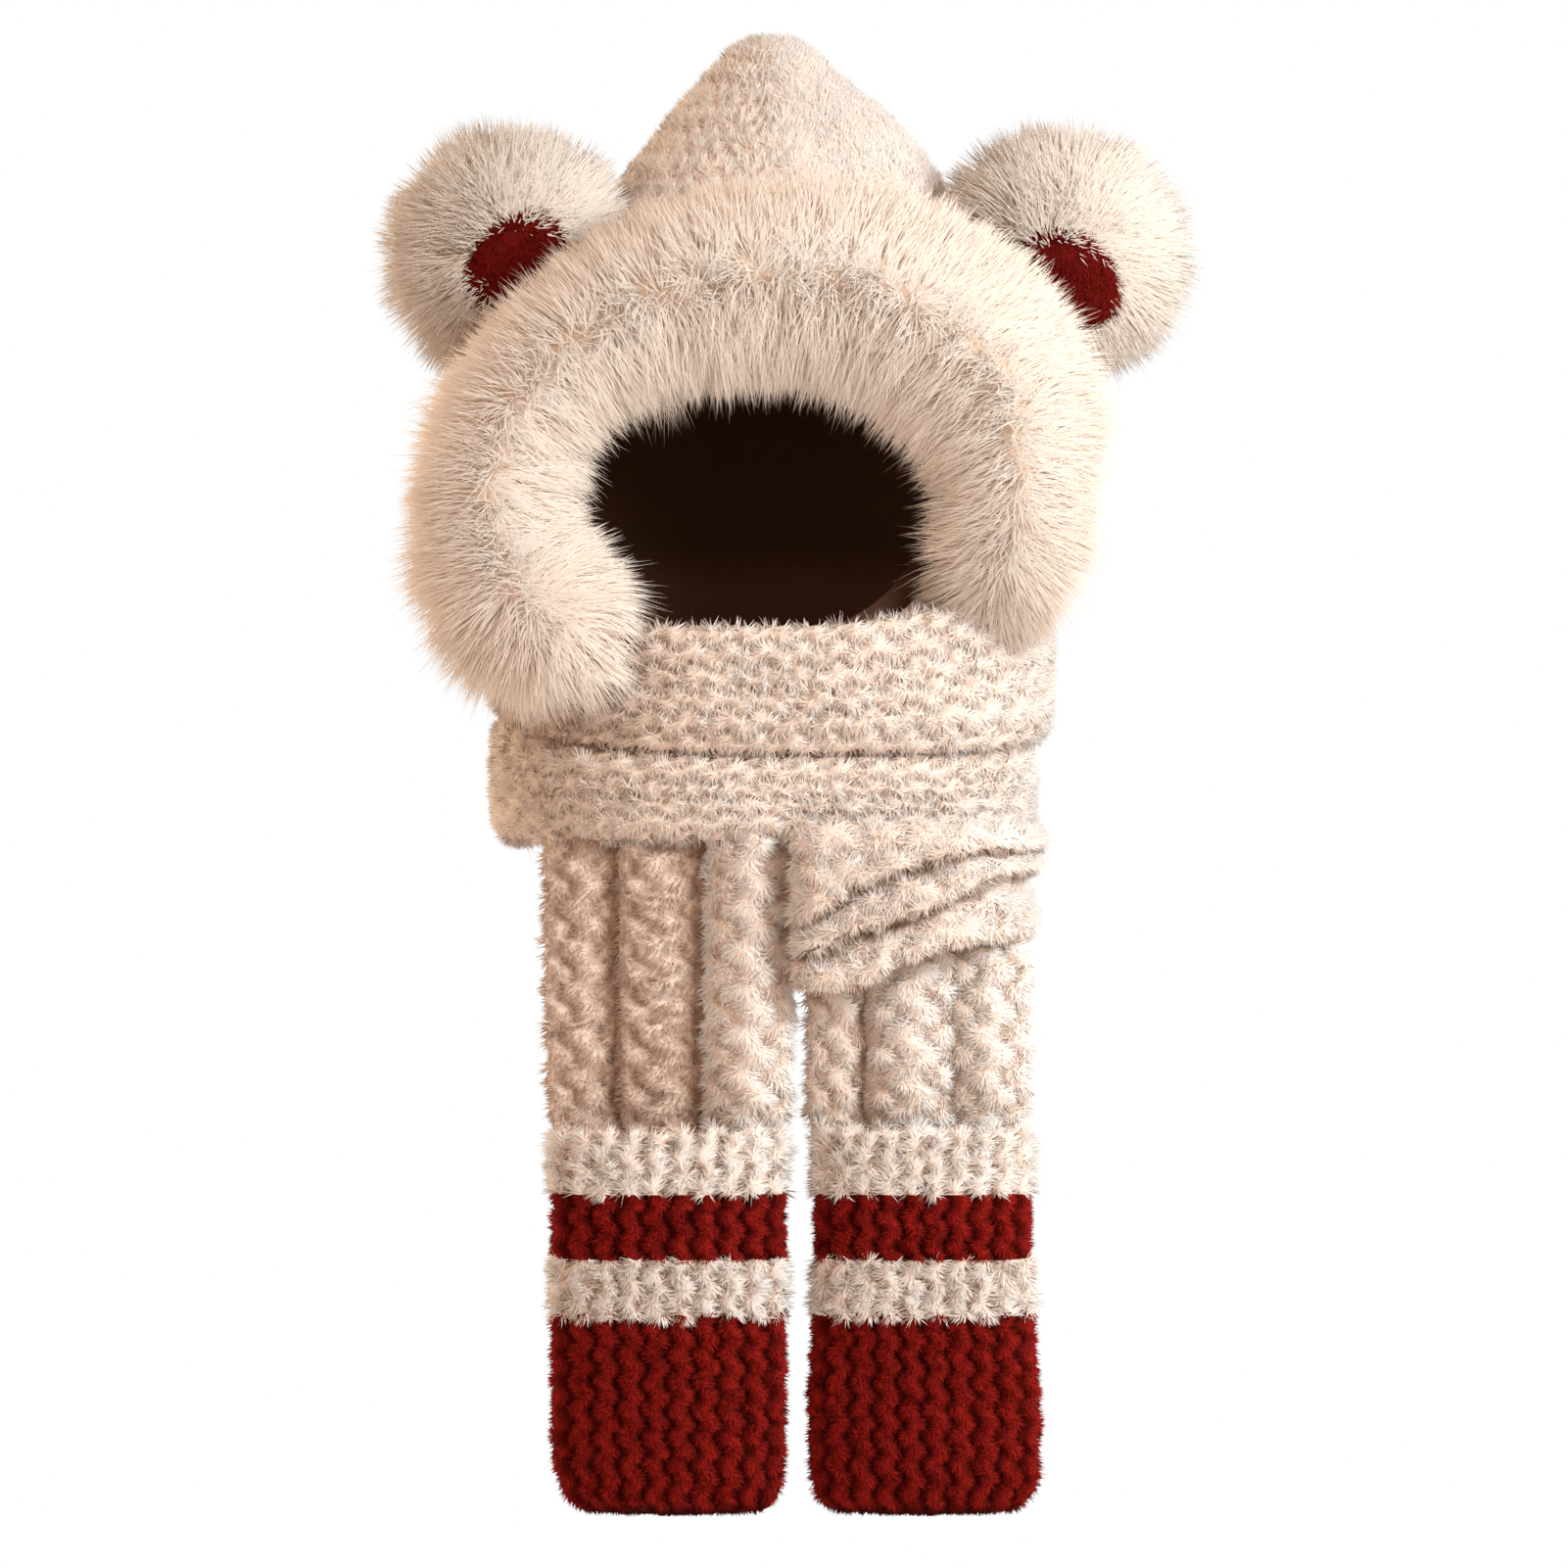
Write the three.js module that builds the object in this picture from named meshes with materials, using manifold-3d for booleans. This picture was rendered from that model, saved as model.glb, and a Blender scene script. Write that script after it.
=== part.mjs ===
// A hooded scarf with mittens, worn: a plush hood with a deep fur brim and two round ears, a scarf that goes
// twice round the neck, and two scarf ends that hang in front, each with a mitten pocket sewn on its end.
//
// Millimetres, +Z up. The wearer looks along -Y and +X is on the right of someone who faces the wearer.
// The origin is where the crown of the wearer's head sits, inside the hood and below its peak.
// "left" and "right" in the names are -X and +X.
import * as THREE from "three";
import { mergeVertices } from "three/addons/utils/BufferGeometryUtils.js";
import Module from "manifold-3d";

const wasm = await Module();
wasm.setup();

// Driving sizes

const clearance = 0.3; // between pieces that are sewn to or lie on each other

const hoodHeight = 342; // neckline to the tip of the peak
const peakRise = 100; // the tip of the peak above the wearer's crown
const hoodWidth = 236;
const hoodFront = 104; // head axis to the front of the hood
const hoodBack = 126; // head axis to the back of the hood
const hoodWall = 9; // knitted plush with its pile
const backSquare = 2.2; // how square an oval's back half is: 2 is an ellipse
const liningWall = 2;

const openingWidth = 208; // the face opening's cut, hidden in the fur
const openingHeight = 160;
const openingDrop = 152; // crown to the middle of the face opening
const openingShift = -6; // the opening hangs a little to the left of the head axis

const brimWidth = 272; // the fur roll, measured along its middle line
const brimHeight = 236;
const brimThick = 120; // tip to tip across the roll, seen from the front
const brimDepth = 100; // tip to tip from front to back
const brimForward = 108; // head axis to the roll's middle line
const brimPile = 23; // length of a lock of the brim
const brimComb = 9; // how far a lock leans away from the parting

const earSize = 140; // tip to tip
const earDepth = 72;
const earPile = 20;
const earSpread = 282; // between the middles of the two ears
const earDrop = 20; // crown to the middle of an ear
const earForward = 56; // head axis to the middle of an ear
const earShift = 9; // the ears follow the hood, which hangs to the right
const patchLength = 58; // the red plush inside an ear
const patchWidth = 42;
const patchThick = 12;
const patchForward = 84; // head axis to the middle of the patch
const patchTilt = 45; // degrees from level, towards the head's middle
const leftPatch = { shift: 3, drop: 5 }; // from the middle of the ear to that of the patch
const rightPatch = { shift: 4, drop: 13 };

const bandThick = 31; // the scarf round the neck, at its thickest
const bandSquare = 0.6; // how square its section is: 1 is an ellipse
const upperTop = 188; // crown down to the highest part of the upper band
const upperTall = 90; // from there to its lowest part
const lowerFoot = 322; // crown down to the foot of the lower band

const drapeWall = 13; // the fold that hangs over the right scarf end
const drapeFront = 124; // head axis to the inside of the fold
const drapeSide = 121;
const drapeStep = 3; // each layer of the fold lies this much behind the one above
const drapeDrop = 74; // at its longest

const tailWall = 12;
const tailFold = 30; // depth of the folds, crest to back
const tailBack = 95; // head axis to the back of a hanging scarf end
const tailWrap = 14; // how far its outer edge follows the body back
const tailEnd = 501; // crown down to where the closed mitten begins
const leftTailWidth = 131;
const leftTailMiddle = -51;
const rightTailWidth = 116;
const rightTailMiddle = 76;

const mittenWidth = 125;
const mittenDepth = 60;
const mittenWall = 8;
const mittenBack = 92; // head axis to the back of a mitten
const mittenSquare = 2.2;
const leftMittenMiddle = -51;
const rightMittenMiddle = 79;
const cuffTall = 30; // the cream lip of the pocket, above the closed mitten
const redStripeTall = 33;
const creamStripeTall = 29;
const handTall = 107; // the red hand below the stripes

// How finely the round shapes are cut

const around = 24; // points round the hood, its lining and the neck bands
const bandRound = 10; // points round a neck band's section
const mittenRound = 20;
const foldSteps = 6; // steps across one fold
const rollRound = 16; // points round the fur roll
const rollSteps = 40;
const earRound = 16;
const earSteps = 8;
const patchRound = 14;
const patchSteps = 4;
const padClose = 78; // degrees from a pad's rim to where its front and back are closed
const handSteps = [0, 0.4, 0.7, 0.85, 0.95, 1]; // down the closed end of a mitten

const neckline = peakRise - hoodHeight;

// Tables: a row for each section, with its lengths as shares of the sizes above

// Hood, from the neckline up: half widths of hoodWidth, depths of hoodFront and hoodBack, how far the section
// leans back from the head axis as a share of hoodBack, and how square its front is.
const hoodSections = [
  { up: 0.0, left: 0.5, right: 0.5, front: 1.0, back: 0.7, lean: 0, power: 3 },
  { up: 0.17, left: 0.5, right: 0.5, front: 1.0, back: 0.7, lean: 0, power: 3 },
  { up: 0.26, left: 0.5, right: 0.5, front: 1.0, back: 0.82, lean: 0, power: 3 },
  { up: 0.38, left: 0.5, right: 0.5, front: 1.0, back: 0.94, lean: 0, power: 3 },
  { up: 0.5, left: 0.49, right: 0.49, front: 1.0, back: 1.0, lean: 0, power: 3 },
  { up: 0.6, left: 0.465, right: 0.475, front: 0.98, back: 0.99, lean: 0, power: 2.9 },
  { up: 0.68, left: 0.42, right: 0.45, front: 0.93, back: 0.93, lean: 0, power: 2.7 },
  { up: 0.755, left: 0.355, right: 0.4, front: 0.84, back: 0.8, lean: 0.03, power: 2.4 },
  { up: 0.82, left: 0.285, right: 0.34, front: 0.72, back: 0.63, lean: 0.08, power: 2.2 },
  { up: 0.88, left: 0.225, right: 0.262, front: 0.57, back: 0.45, lean: 0.14, power: 2 },
  { up: 0.93, left: 0.165, right: 0.18, front: 0.41, back: 0.31, lean: 0.19, power: 2 },
  { up: 0.97, left: 0.105, right: 0.108, front: 0.25, back: 0.19, lean: 0.23, power: 2 },
  { up: 0.992, left: 0.055, right: 0.055, front: 0.12, back: 0.1, lean: 0.25, power: 2 },
];

// Fur roll, by its angle round the face opening, from the right end over the top to the left end. thick and
// outside are shares of brimThick, depth of brimDepth and forward of brimForward. outside is how far the
// roll's middle lies outside the line that it follows.
const rollSections = [
  { turn: -36, thick: 0.5, depth: 0.4, outside: -0.06, forward: 0.8 },
  { turn: -28, thick: 0.82, depth: 0.66, outside: -0.06, forward: 0.84 },
  { turn: 0, thick: 0.82, depth: 0.94, outside: -0.03, forward: 0.96 },
  { turn: 30, thick: 1.02, depth: 1.0, outside: 0.06, forward: 0.98 },
  { turn: 60, thick: 1.06, depth: 1.0, outside: 0.05, forward: 1.0 },
  { turn: 90, thick: 1.0, depth: 1.0, outside: 0, forward: 1.02 },
  { turn: 115, thick: 0.92, depth: 1.0, outside: -0.02, forward: 1.0 },
  { turn: 135, thick: 0.82, depth: 1.0, outside: -0.01, forward: 0.99 },
  { turn: 155, thick: 0.84, depth: 1.0, outside: 0, forward: 0.98 },
  { turn: 180, thick: 0.86, depth: 0.98, outside: 0, forward: 0.98 },
  { turn: 205, thick: 0.96, depth: 0.88, outside: -0.04, forward: 1.1 },
  { turn: 220, thick: 0.84, depth: 0.74, outside: -0.08, forward: 1.2 },
  { turn: 230, thick: 0.4, depth: 0.4, outside: -0.06, forward: 1.24 },
];

// Neck bands, by the angle round the neck: 0 is the right side, 90 the front, 180 the left, 270 the back.
// top and foot are shares of upperTall below upperTop, thick is a share of bandThick.
const upperBand = [
  { turn: 0, top: 0.03, foot: 0.9, thick: 1.0 },
  { turn: 45, top: 0.12, foot: 0.98, thick: 0.95 },
  { turn: 90, top: 0.26, foot: 1.0, thick: 0.86 },
  { turn: 135, top: 0.24, foot: 0.93, thick: 0.84 },
  { turn: 180, top: 0.1, foot: 0.76, thick: 0.94 },
  { turn: 225, top: 0.02, foot: 0.78, thick: 0.94 },
  { turn: 270, top: 0.0, foot: 0.84, thick: 0.92 },
  { turn: 315, top: 0.0, foot: 0.87, thick: 0.95 },
  { turn: 360, top: 0.03, foot: 0.9, thick: 1.0 },
];
const lowerBand = [
  { turn: 0, thick: 0.68 },
  { turn: 45, thick: 0.74 },
  { turn: 90, thick: 0.84 },
  { turn: 135, thick: 0.88 },
  { turn: 180, thick: 0.88 },
  { turn: 225, thick: 0.88 },
  { turn: 270, thick: 0.84 },
  { turn: 315, thick: 0.76 },
  { turn: 360, thick: 0.68 },
];

// The hanging fold, from the front's middle round the right side: how far down it reaches (of drapeDrop), and
// the shares of that at which its second and third layers come out from under the one above.
const drapeSections = [
  { turn: 89.6, drop: 0.99, second: 0.63, third: 0.81 },
  { turn: 87.9, drop: 1.0, second: 0.51, third: 0.73 },
  { turn: 84.3, drop: 0.98, second: 0.38, third: 0.66 },
  { turn: 78.3, drop: 0.86, second: 0.32, third: 0.68 },
  { turn: 69.2, drop: 0.76, second: 0.28, third: 0.66 },
  { turn: 56.9, drop: 0.69, second: 0.22, third: 0.56 },
  { turn: 41.2, drop: 0.67, second: 0.2, third: 0.42 },
  { turn: 23.1, drop: 0.66, second: 0.2, third: 0.4 },
  { turn: 0, drop: 0.58, second: 0.2, third: 0.4 },
  { turn: -13, drop: 0.4, second: 0.2, third: 0.4 },
  { turn: -26, drop: 0.14, second: 0.2, third: 0.4 },
];

// Folds across each scarf end, from left to right, as shares of its width and of tailFold.
const leftFolds = [
  { from: 0, to: 0.3, crest: 0.72 },
  { from: 0.3, to: 0.67, crest: 0.9 },
  { from: 0.67, to: 1, crest: 1.0 },
];
const rightFolds = [
  { from: 0, to: 0.27, crest: 0.72 },
  { from: 0.27, to: 0.66, crest: 0.92 },
  { from: 0.66, to: 1, crest: 0.88 },
];

// Scarf ends, from the neck down: width as a share of the end's own, how open the folds are, and how far the
// end follows the body's curve.
const leftDrop = [
  { down: 0.0, width: 1.0, open: 0.86, curve: 1 },
  { down: 0.14, width: 1.0, open: 1.0, curve: 0.9 },
  { down: 0.36, width: 0.99, open: 1.0, curve: 0.6 },
  { down: 0.6, width: 0.965, open: 0.98, curve: 0.3 },
  { down: 0.79, width: 0.95, open: 0.86, curve: 0.1 },
  { down: 0.82, width: 0.815, open: 0.32, curve: 0 },
  { down: 1.0, width: 0.815, open: 0.1, curve: 0 },
];
const rightDrop = [
  { down: 0.0, width: 0.5, open: 0.2, curve: 1 },
  { down: 0.28, width: 0.52, open: 0.2, curve: 0.8 },
  { down: 0.305, width: 1.0, open: 0.3, curve: 0.7 },
  { down: 0.44, width: 1.0, open: 0.75, curve: 0.6 },
  { down: 0.6, width: 0.985, open: 0.95, curve: 0.3 },
  { down: 0.79, width: 0.98, open: 0.86, curve: 0.1 },
  { down: 0.82, width: 0.79, open: 0.32, curve: 0 },
  { down: 1.0, width: 0.79, open: 0.1, curve: 0 },
];

// Closed part of a mitten, from the tail's end down: half widths of mittenWidth, and depth of mittenDepth.
const leftMitten = [
  { down: 0.0, left: 0.5, right: 0.5, depth: 0.98 },
  { down: 0.38, left: 0.5, right: 0.5, depth: 0.9 },
  { down: 0.72, left: 0.5, right: 0.5, depth: 0.82 },
  { down: 0.86, left: 0.485, right: 0.495, depth: 0.74 },
  { down: 0.94, left: 0.44, right: 0.47, depth: 0.6 },
  { down: 0.985, left: 0.35, right: 0.41, depth: 0.38 },
  { down: 1.0, left: 0.22, right: 0.3, depth: 0.16 },
];
const rightMitten = [
  { down: 0.0, left: 0.465, right: 0.455, depth: 0.98 },
  { down: 0.38, left: 0.475, right: 0.47, depth: 0.9 },
  { down: 0.72, left: 0.495, right: 0.495, depth: 0.82 },
  { down: 0.86, left: 0.49, right: 0.495, depth: 0.74 },
  { down: 0.94, left: 0.46, right: 0.46, depth: 0.6 },
  { down: 0.985, left: 0.38, right: 0.36, depth: 0.38 },
  { down: 1.0, left: 0.26, right: 0.22, depth: 0.16 },
];

// Small maths

const { abs, cos, sin, sqrt, hypot, sign, max, min, PI } = Math;
const radians = (degrees) => (degrees * PI) / 180;
const mix = (a, b, share) => a + (b - a) * share;
const steps = (n) => Array.from({ length: n + 1 }, (_, i) => i / n);

// The table's row at a place between two of its rows, with each column eased from one row to the next.
function rowAt(table, key, place) {
  let i = 0;
  while (i < table.length - 2 && place > table[i + 1][key]) i += 1;
  const [a, b] = [table[i], table[i + 1]];
  const t = min(1, max(0, (place - a[key]) / (b[key] - a[key])));
  const eased = t * t * (3 - 2 * t);
  return Object.fromEntries(Object.keys(a).map((name) => [name, mix(a[name], b[name], eased)]));
}

// A point of an oval seen from above. turn is 0 at the right, 90 at the front, 180 at the left.
function ovalPoint({ left, right, front, back, power }, turn) {
  const [c, s] = [cos(radians(turn)), sin(radians(turn))];
  const round = 2 / (s > 0 ? power : backSquare);
  const x = (c > 0 ? right : left) * sign(c) * abs(c) ** round;
  const y = (s > 0 ? -front : back) * abs(s) ** round;
  return { x, y };
}

// Closed surfaces

// Joins rings of points, each with as many points as the next. The ends are closed with a fan, or the last
// ring is joined to the first. tufted cuts each square between its low corners, so that every high point is
// the tip of a lock.
function skin(rings, { loop = false, tufted = false } = {}) {
  const count = rings[0].length;
  const points = rings.flat();
  const faces = [];
  const at = (i, j) => (i % rings.length) * count + (j % count);
  for (let i = 0; i < rings.length - (loop ? 0 : 1); i += 1) {
    for (let j = 0; j < count; j += 1) {
      const [a, b, c, d] = [at(i, j), at(i, j + 1), at(i + 1, j + 1), at(i + 1, j)];
      if (tufted && (i + j) % 2 === 0) faces.push([a, b, d], [b, c, d]);
      else faces.push([a, b, c], [a, c, d]);
    }
  }
  if (!loop) {
    for (const [ring, turned] of [[0, true], [rings.length - 1, false]]) {
      const middle = points.length;
      const sum = rings[ring].reduce((s, p) => s.add(p), new THREE.Vector3());
      points.push(sum.divideScalar(count));
      for (let j = 0; j < count; j += 1) {
        const [a, b] = [at(ring, j), at(ring, j + 1)];
        faces.push(turned ? [b, a, middle] : [a, b, middle]);
      }
    }
  }
  return shell(points, faces);
}

// A sheet with a front and a back, each a grid of points, closed along its four edges.
function sheet(front, back) {
  const [rows, columns] = [front.length, front[0].length];
  const points = [...front.flat(), ...back.flat()];
  const at = (side, i, j) => side * rows * columns + i * columns + j;
  const faces = [];
  const square = (a, b, c, d) => faces.push([a, b, c], [a, c, d]);
  for (let i = 0; i < rows - 1; i += 1) {
    for (let j = 0; j < columns - 1; j += 1) {
      square(at(0, i, j), at(0, i + 1, j), at(0, i + 1, j + 1), at(0, i, j + 1));
      square(at(1, i, j), at(1, i, j + 1), at(1, i + 1, j + 1), at(1, i + 1, j));
    }
  }
  for (let j = 0; j < columns - 1; j += 1) {
    square(at(0, 0, j), at(0, 0, j + 1), at(1, 0, j + 1), at(1, 0, j));
    square(at(0, rows - 1, j + 1), at(0, rows - 1, j), at(1, rows - 1, j), at(1, rows - 1, j + 1));
  }
  for (let i = 0; i < rows - 1; i += 1) {
    square(at(0, i + 1, 0), at(0, i, 0), at(1, i, 0), at(1, i + 1, 0));
    const last = columns - 1;
    square(at(0, i, last), at(0, i + 1, last), at(1, i + 1, last), at(1, i, last));
  }
  return shell(points, faces);
}

function shell(points, faces) {
  const positions = new Float32Array(points.flatMap((p) => [p.x, p.y, p.z]));
  const geometry = new THREE.BufferGeometry();
  geometry.setAttribute("position", new THREE.BufferAttribute(positions, 3));
  geometry.setIndex(faces.flat());
  return geometry;
}

// A geometry as a solid for cutting, turned right way out if its rings ran the other way.
function solid(geometry) {
  const bare = new THREE.BufferGeometry();
  bare.setAttribute("position", geometry.getAttribute("position"));
  bare.setIndex(geometry.index);
  const merged = mergeVertices(bare, 1e-4);
  const vertProperties = new Float32Array(merged.attributes.position.array);
  const make = (triVerts) => new wasm.Manifold(new wasm.Mesh({ numProp: 3, vertProperties, triVerts }));
  const triVerts = new Uint32Array(merged.index.array);
  const made = make(triVerts);
  return made.volume() > 0 ? made : make(triVerts.reverse());
}

// The largest piece that a cut leaves. The rest is scraps.
function mainPiece(cut) {
  return cut.decompose().reduce((a, b) => (b.volume() > a.volume() ? b : a));
}

// Hood and lining

// The hood's sections moved in by inset, square to the surface.
function hoodRings(inset, foot) {
  const size = (s) => ((s.left + s.right) * hoodWidth + s.front * hoodFront + s.back * hoodBack) / 4;
  return hoodSections.map((s, i) => {
    const [below, above] = [hoodSections[max(0, i - 1)], hoodSections[min(hoodSections.length - 1, i + 1)]];
    const rise = (above.up - below.up) * hoodHeight;
    const shrink = size(below) - size(above);
    const slope = hypot(rise, shrink);
    const [out, up] = [rise / slope, shrink / slope];
    const z = i === 0 ? foot : neckline + s.up * hoodHeight - inset * up;
    const section = {
      left: s.left * hoodWidth - inset * out,
      right: s.right * hoodWidth - inset * out,
      front: s.front * hoodFront - inset * out,
      back: s.back * hoodBack - inset * out,
      power: s.power,
    };
    return steps(around)
      .slice(0, -1)
      .map((share) => {
        const { x, y } = ovalPoint(section, 360 * share);
        return new THREE.Vector3(x, y + s.lean * hoodBack, z);
      });
  });
}

// The whole of what the hood encloses at one inset, and its wall from there to a deeper one.
function hoodFilled(inset, foot) {
  return solid(skin(hoodRings(inset, foot)));
}
function hoodShell(outer, inner) {
  return hoodFilled(outer, neckline).subtract(hoodFilled(inner, neckline - 1));
}

// The face opening's cut: an oval that goes in from before the hood's front as far as the head axis.
function faceCut() {
  const length = 1.5 * hoodFront;
  const cut = new THREE.CylinderGeometry(1, 1, length, around);
  cut.scale(openingWidth / 2, 1, openingHeight / 2);
  cut.translate(openingShift, -length / 2, -openingDrop);
  return solid(cut);
}

const hood = mainPiece(hoodShell(0, hoodWall).subtract(faceCut()));
const liningOuter = hoodWall + clearance;
const lining = mainPiece(hoodShell(liningOuter, liningOuter + liningWall).subtract(faceCut()));

// Neck bands: two turns of the scarf, one on the other, round the foot of the hood

const neck = hoodSections[0];
const neckOval = {
  left: neck.left * hoodWidth,
  right: neck.right * hoodWidth,
  front: neck.front * hoodFront,
  back: neck.back * hoodBack,
  power: neck.power,
};

// A point on an oval, moved out square to it.
function offOval(oval, turn, out, z) {
  const nudge = 0.2;
  const [before, here, after] = [turn - nudge, turn, turn + nudge].map((t) => ovalPoint(oval, t));
  const [dx, dy] = [after.x - before.x, after.y - before.y];
  const length = hypot(dx, dy);
  return new THREE.Vector3(here.x - (dy / length) * out, here.y + (dx / length) * out, z);
}

const bandAt = {
  upper(turn) {
    const row = rowAt(upperBand, "turn", turn);
    const [top, foot] = [row.top, row.foot].map((share) => -upperTop - share * upperTall);
    return { top, foot, thick: row.thick * bandThick };
  },
  lower(turn) {
    const row = rowAt(lowerBand, "turn", turn);
    return { top: bandAt.upper(turn).foot - clearance, foot: -lowerFoot, thick: row.thick * bandThick };
  },
};

// A band grown by grow on every side, for cutting its neighbours.
function band(which, grow) {
  const rings = steps(around)
    .slice(0, -1)
    .map((share) => {
      const turn = 360 * share;
      const { top, foot, thick } = bandAt[which](turn);
      const [middle, halfTall] = [(top + foot) / 2, (top - foot) / 2 + grow];
      return steps(bandRound)
        .slice(0, -1)
        .map((s) => {
          const angle = 360 * s + 180 / bandRound;
          const [c, h] = [cos(radians(angle)), sin(radians(angle))];
          const out = clearance + thick / 2 + (thick / 2 + grow) * sign(c) * abs(c) ** bandSquare;
          return offOval(neckOval, turn, out, middle + halfTall * sign(h) * abs(h) ** bandSquare);
        });
    });
  return solid(skin(rings, { loop: true }));
}

const upper = band("upper", 0);
const lower = band("lower", 0);

// Fur brim: a roll whose surface stands up in locks, combed away from the parting along its front

// The roll's rings, with every other point at the tip of a lock. pile 0 gives its smooth envelope.
function rollRings(grow, pile) {
  const [first, last] = [rollSections[0].turn, rollSections[rollSections.length - 1].turn];
  return steps(rollSteps).map((share, i) => {
    const turn = mix(first, last, share);
    const row = rowAt(rollSections, "turn", turn);
    const [c, s] = [cos(radians(turn)), sin(radians(turn))];
    const middle = new THREE.Vector3(
      openingShift + (brimWidth / 2) * c,
      -brimForward * row.forward,
      -openingDrop + (brimHeight / 2) * s,
    );
    const outward = new THREE.Vector3(c / brimWidth, 0, s / brimHeight).normalize();
    return steps(rollRound)
      .slice(0, -1)
      .map((around, j) => {
        const angle = 2 * PI * around;
        const [side, ahead] = [sin(angle), cos(angle)];
        const tip = (i + j) % 2 === 1;
        const short = tip ? 0 : pile * row.thick;
        const half = (row.thick * brimThick) / 2 - short + grow;
        const deep = (row.depth * brimDepth) / 2 - short + grow;
        const lean = pile && tip ? brimComb * side * abs(ahead) : 0;
        return middle
          .clone()
          .addScaledVector(outward, side * half + lean + row.outside * brimThick)
          .add(new THREE.Vector3(0, -ahead * deep, 0));
      });
  });
}

const inFrontOfHood = hoodFilled(-clearance, neckline - clearance);
const brim = mainPiece(
  solid(skin(rollRings(0, brimPile), { tufted: true }))
    .subtract(inFrontOfHood)
    .subtract(band("upper", clearance))
    .subtract(band("lower", clearance)),
);
const brimEnvelope = solid(skin(rollRings(brimComb / 2, 0)));

// Ears: round cushions of long fur, seated on the hood behind the brim, with a red plush patch in front

// Rings round an axis from front to back. pile 0 gives a smooth pad.
function padRings({ half, tall, deep, pile, rows, points }) {
  return steps(rows).map((share, i) => {
    const angle = radians(mix(-padClose, padClose, share));
    return steps(points)
      .slice(0, -1)
      .map((s, j) => {
        const short = (i + j) % 2 === 1 ? 0 : pile;
        const [c, h] = [cos(2 * PI * s), sin(2 * PI * s)];
        return new THREE.Vector3(
          (half - short) * cos(angle) * c,
          (deep - short) * sin(angle),
          (tall - short) * cos(angle) * h,
        );
      });
  });
}

function patchPad(side, middle, patch, grow) {
  const pad = skin(
    padRings({
      half: patchLength / 2 + grow,
      tall: patchWidth / 2 + grow,
      deep: patchThick / 2 + grow,
      pile: 0,
      rows: patchSteps,
      points: patchRound,
    }),
  );
  pad.rotateY(radians(side * patchTilt));
  pad.translate(middle.x + patch.shift, -patchForward, middle.z - patch.drop);
  return solid(pad);
}

function ear(side, patch) {
  const middle = new THREE.Vector3(earShift + (side * earSpread) / 2, -earForward, -earDrop);
  const round = { half: earSize / 2, tall: earSize / 2, deep: earDepth / 2, pile: earPile };
  const fur = skin(padRings({ ...round, rows: earSteps, points: earRound }), { tufted: true });
  fur.translate(middle.x, middle.y, middle.z);
  const seated = solid(fur)
    .subtract(brimEnvelope)
    .subtract(inFrontOfHood)
    .subtract(patchPad(side, middle, patch, clearance));
  const red = patchPad(side, middle, patch, 0).subtract(brimEnvelope);
  return { fur: mainPiece(seated), patch: mainPiece(red) };
}

const leftEar = ear(-1, leftPatch);
const rightEar = ear(1, rightPatch);

// Hanging fold of the scarf, over the top of the right end

const drapeOval = { ...neckOval, right: drapeSide, front: drapeFront, power: 5 };
const layerShape = [
  { along: 0, swell: 1 },
  { along: 0.4, swell: 4 },
  { along: 0.97, swell: 2 },
];
function drapeFace(out) {
  const rows = [0, 1, 2].flatMap((layer) => layerShape.map((shape) => ({ layer, ...shape })));
  return rows.map(({ layer, along, swell }) =>
    drapeSections.map((column) => {
      const edges = [0, column.second, column.third, 1];
      const down = mix(edges[layer], edges[layer + 1], along) * column.drop * drapeDrop;
      const relief = (2 - layer) * drapeStep + swell;
      return offOval(drapeOval, column.turn, out + relief, -lowerFoot - clearance - down);
    }),
  );
}
const drape = solid(sheet(drapeFace(drapeWall), drapeFace(0)));

// Scarf ends: one thickness of plush in deep lengthwise folds

function tailSheet({ folds, drop, width, middle }) {
  const columns = folds.flatMap((fold, k) =>
    steps(foldSteps)
      .slice(k ? 1 : 0)
      .map((s) => ({ ...fold, across: (1 - cos(PI * s)) / 2 })),
  );
  const reach = abs(middle) + width / 2;
  const side = (face) =>
    drop.map((row) =>
      columns.map(({ from, to, crest, across }) => {
        const wide = row.width * width;
        const foldWide = (to - from) * wide;
        const x = middle + (mix(from, to, across) - 0.5) * wide;
        const rise = (tailFold * crest - tailWall) * row.open;
        const off = 2 * across - 1;
        const offInside = off / (1 - (2 * tailWall) / foldWide);
        const outer = tailWall + rise * sqrt(1 - off ** 2);
        const inner = rise * sqrt(max(0, 1 - offInside ** 2));
        const y = -tailBack + tailWrap * row.curve * (x / reach) ** 2 - (face === "front" ? outer : inner);
        return new THREE.Vector3(x, y, mix(-lowerFoot - clearance, -tailEnd, row.down));
      }),
    );
  return solid(sheet(side("front"), side("back")));
}

const leftTail = tailSheet({
  folds: leftFolds,
  drop: leftDrop,
  width: leftTailWidth,
  middle: leftTailMiddle,
});
const rightTail = tailSheet({
  folds: rightFolds,
  drop: rightDrop,
  width: rightTailWidth,
  middle: rightTailMiddle,
});

// Mittens: a cuff across the front of the scarf end, two stripes and a red hand, all one open pocket

const mittenTall = redStripeTall + creamStripeTall + handTall;

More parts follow.
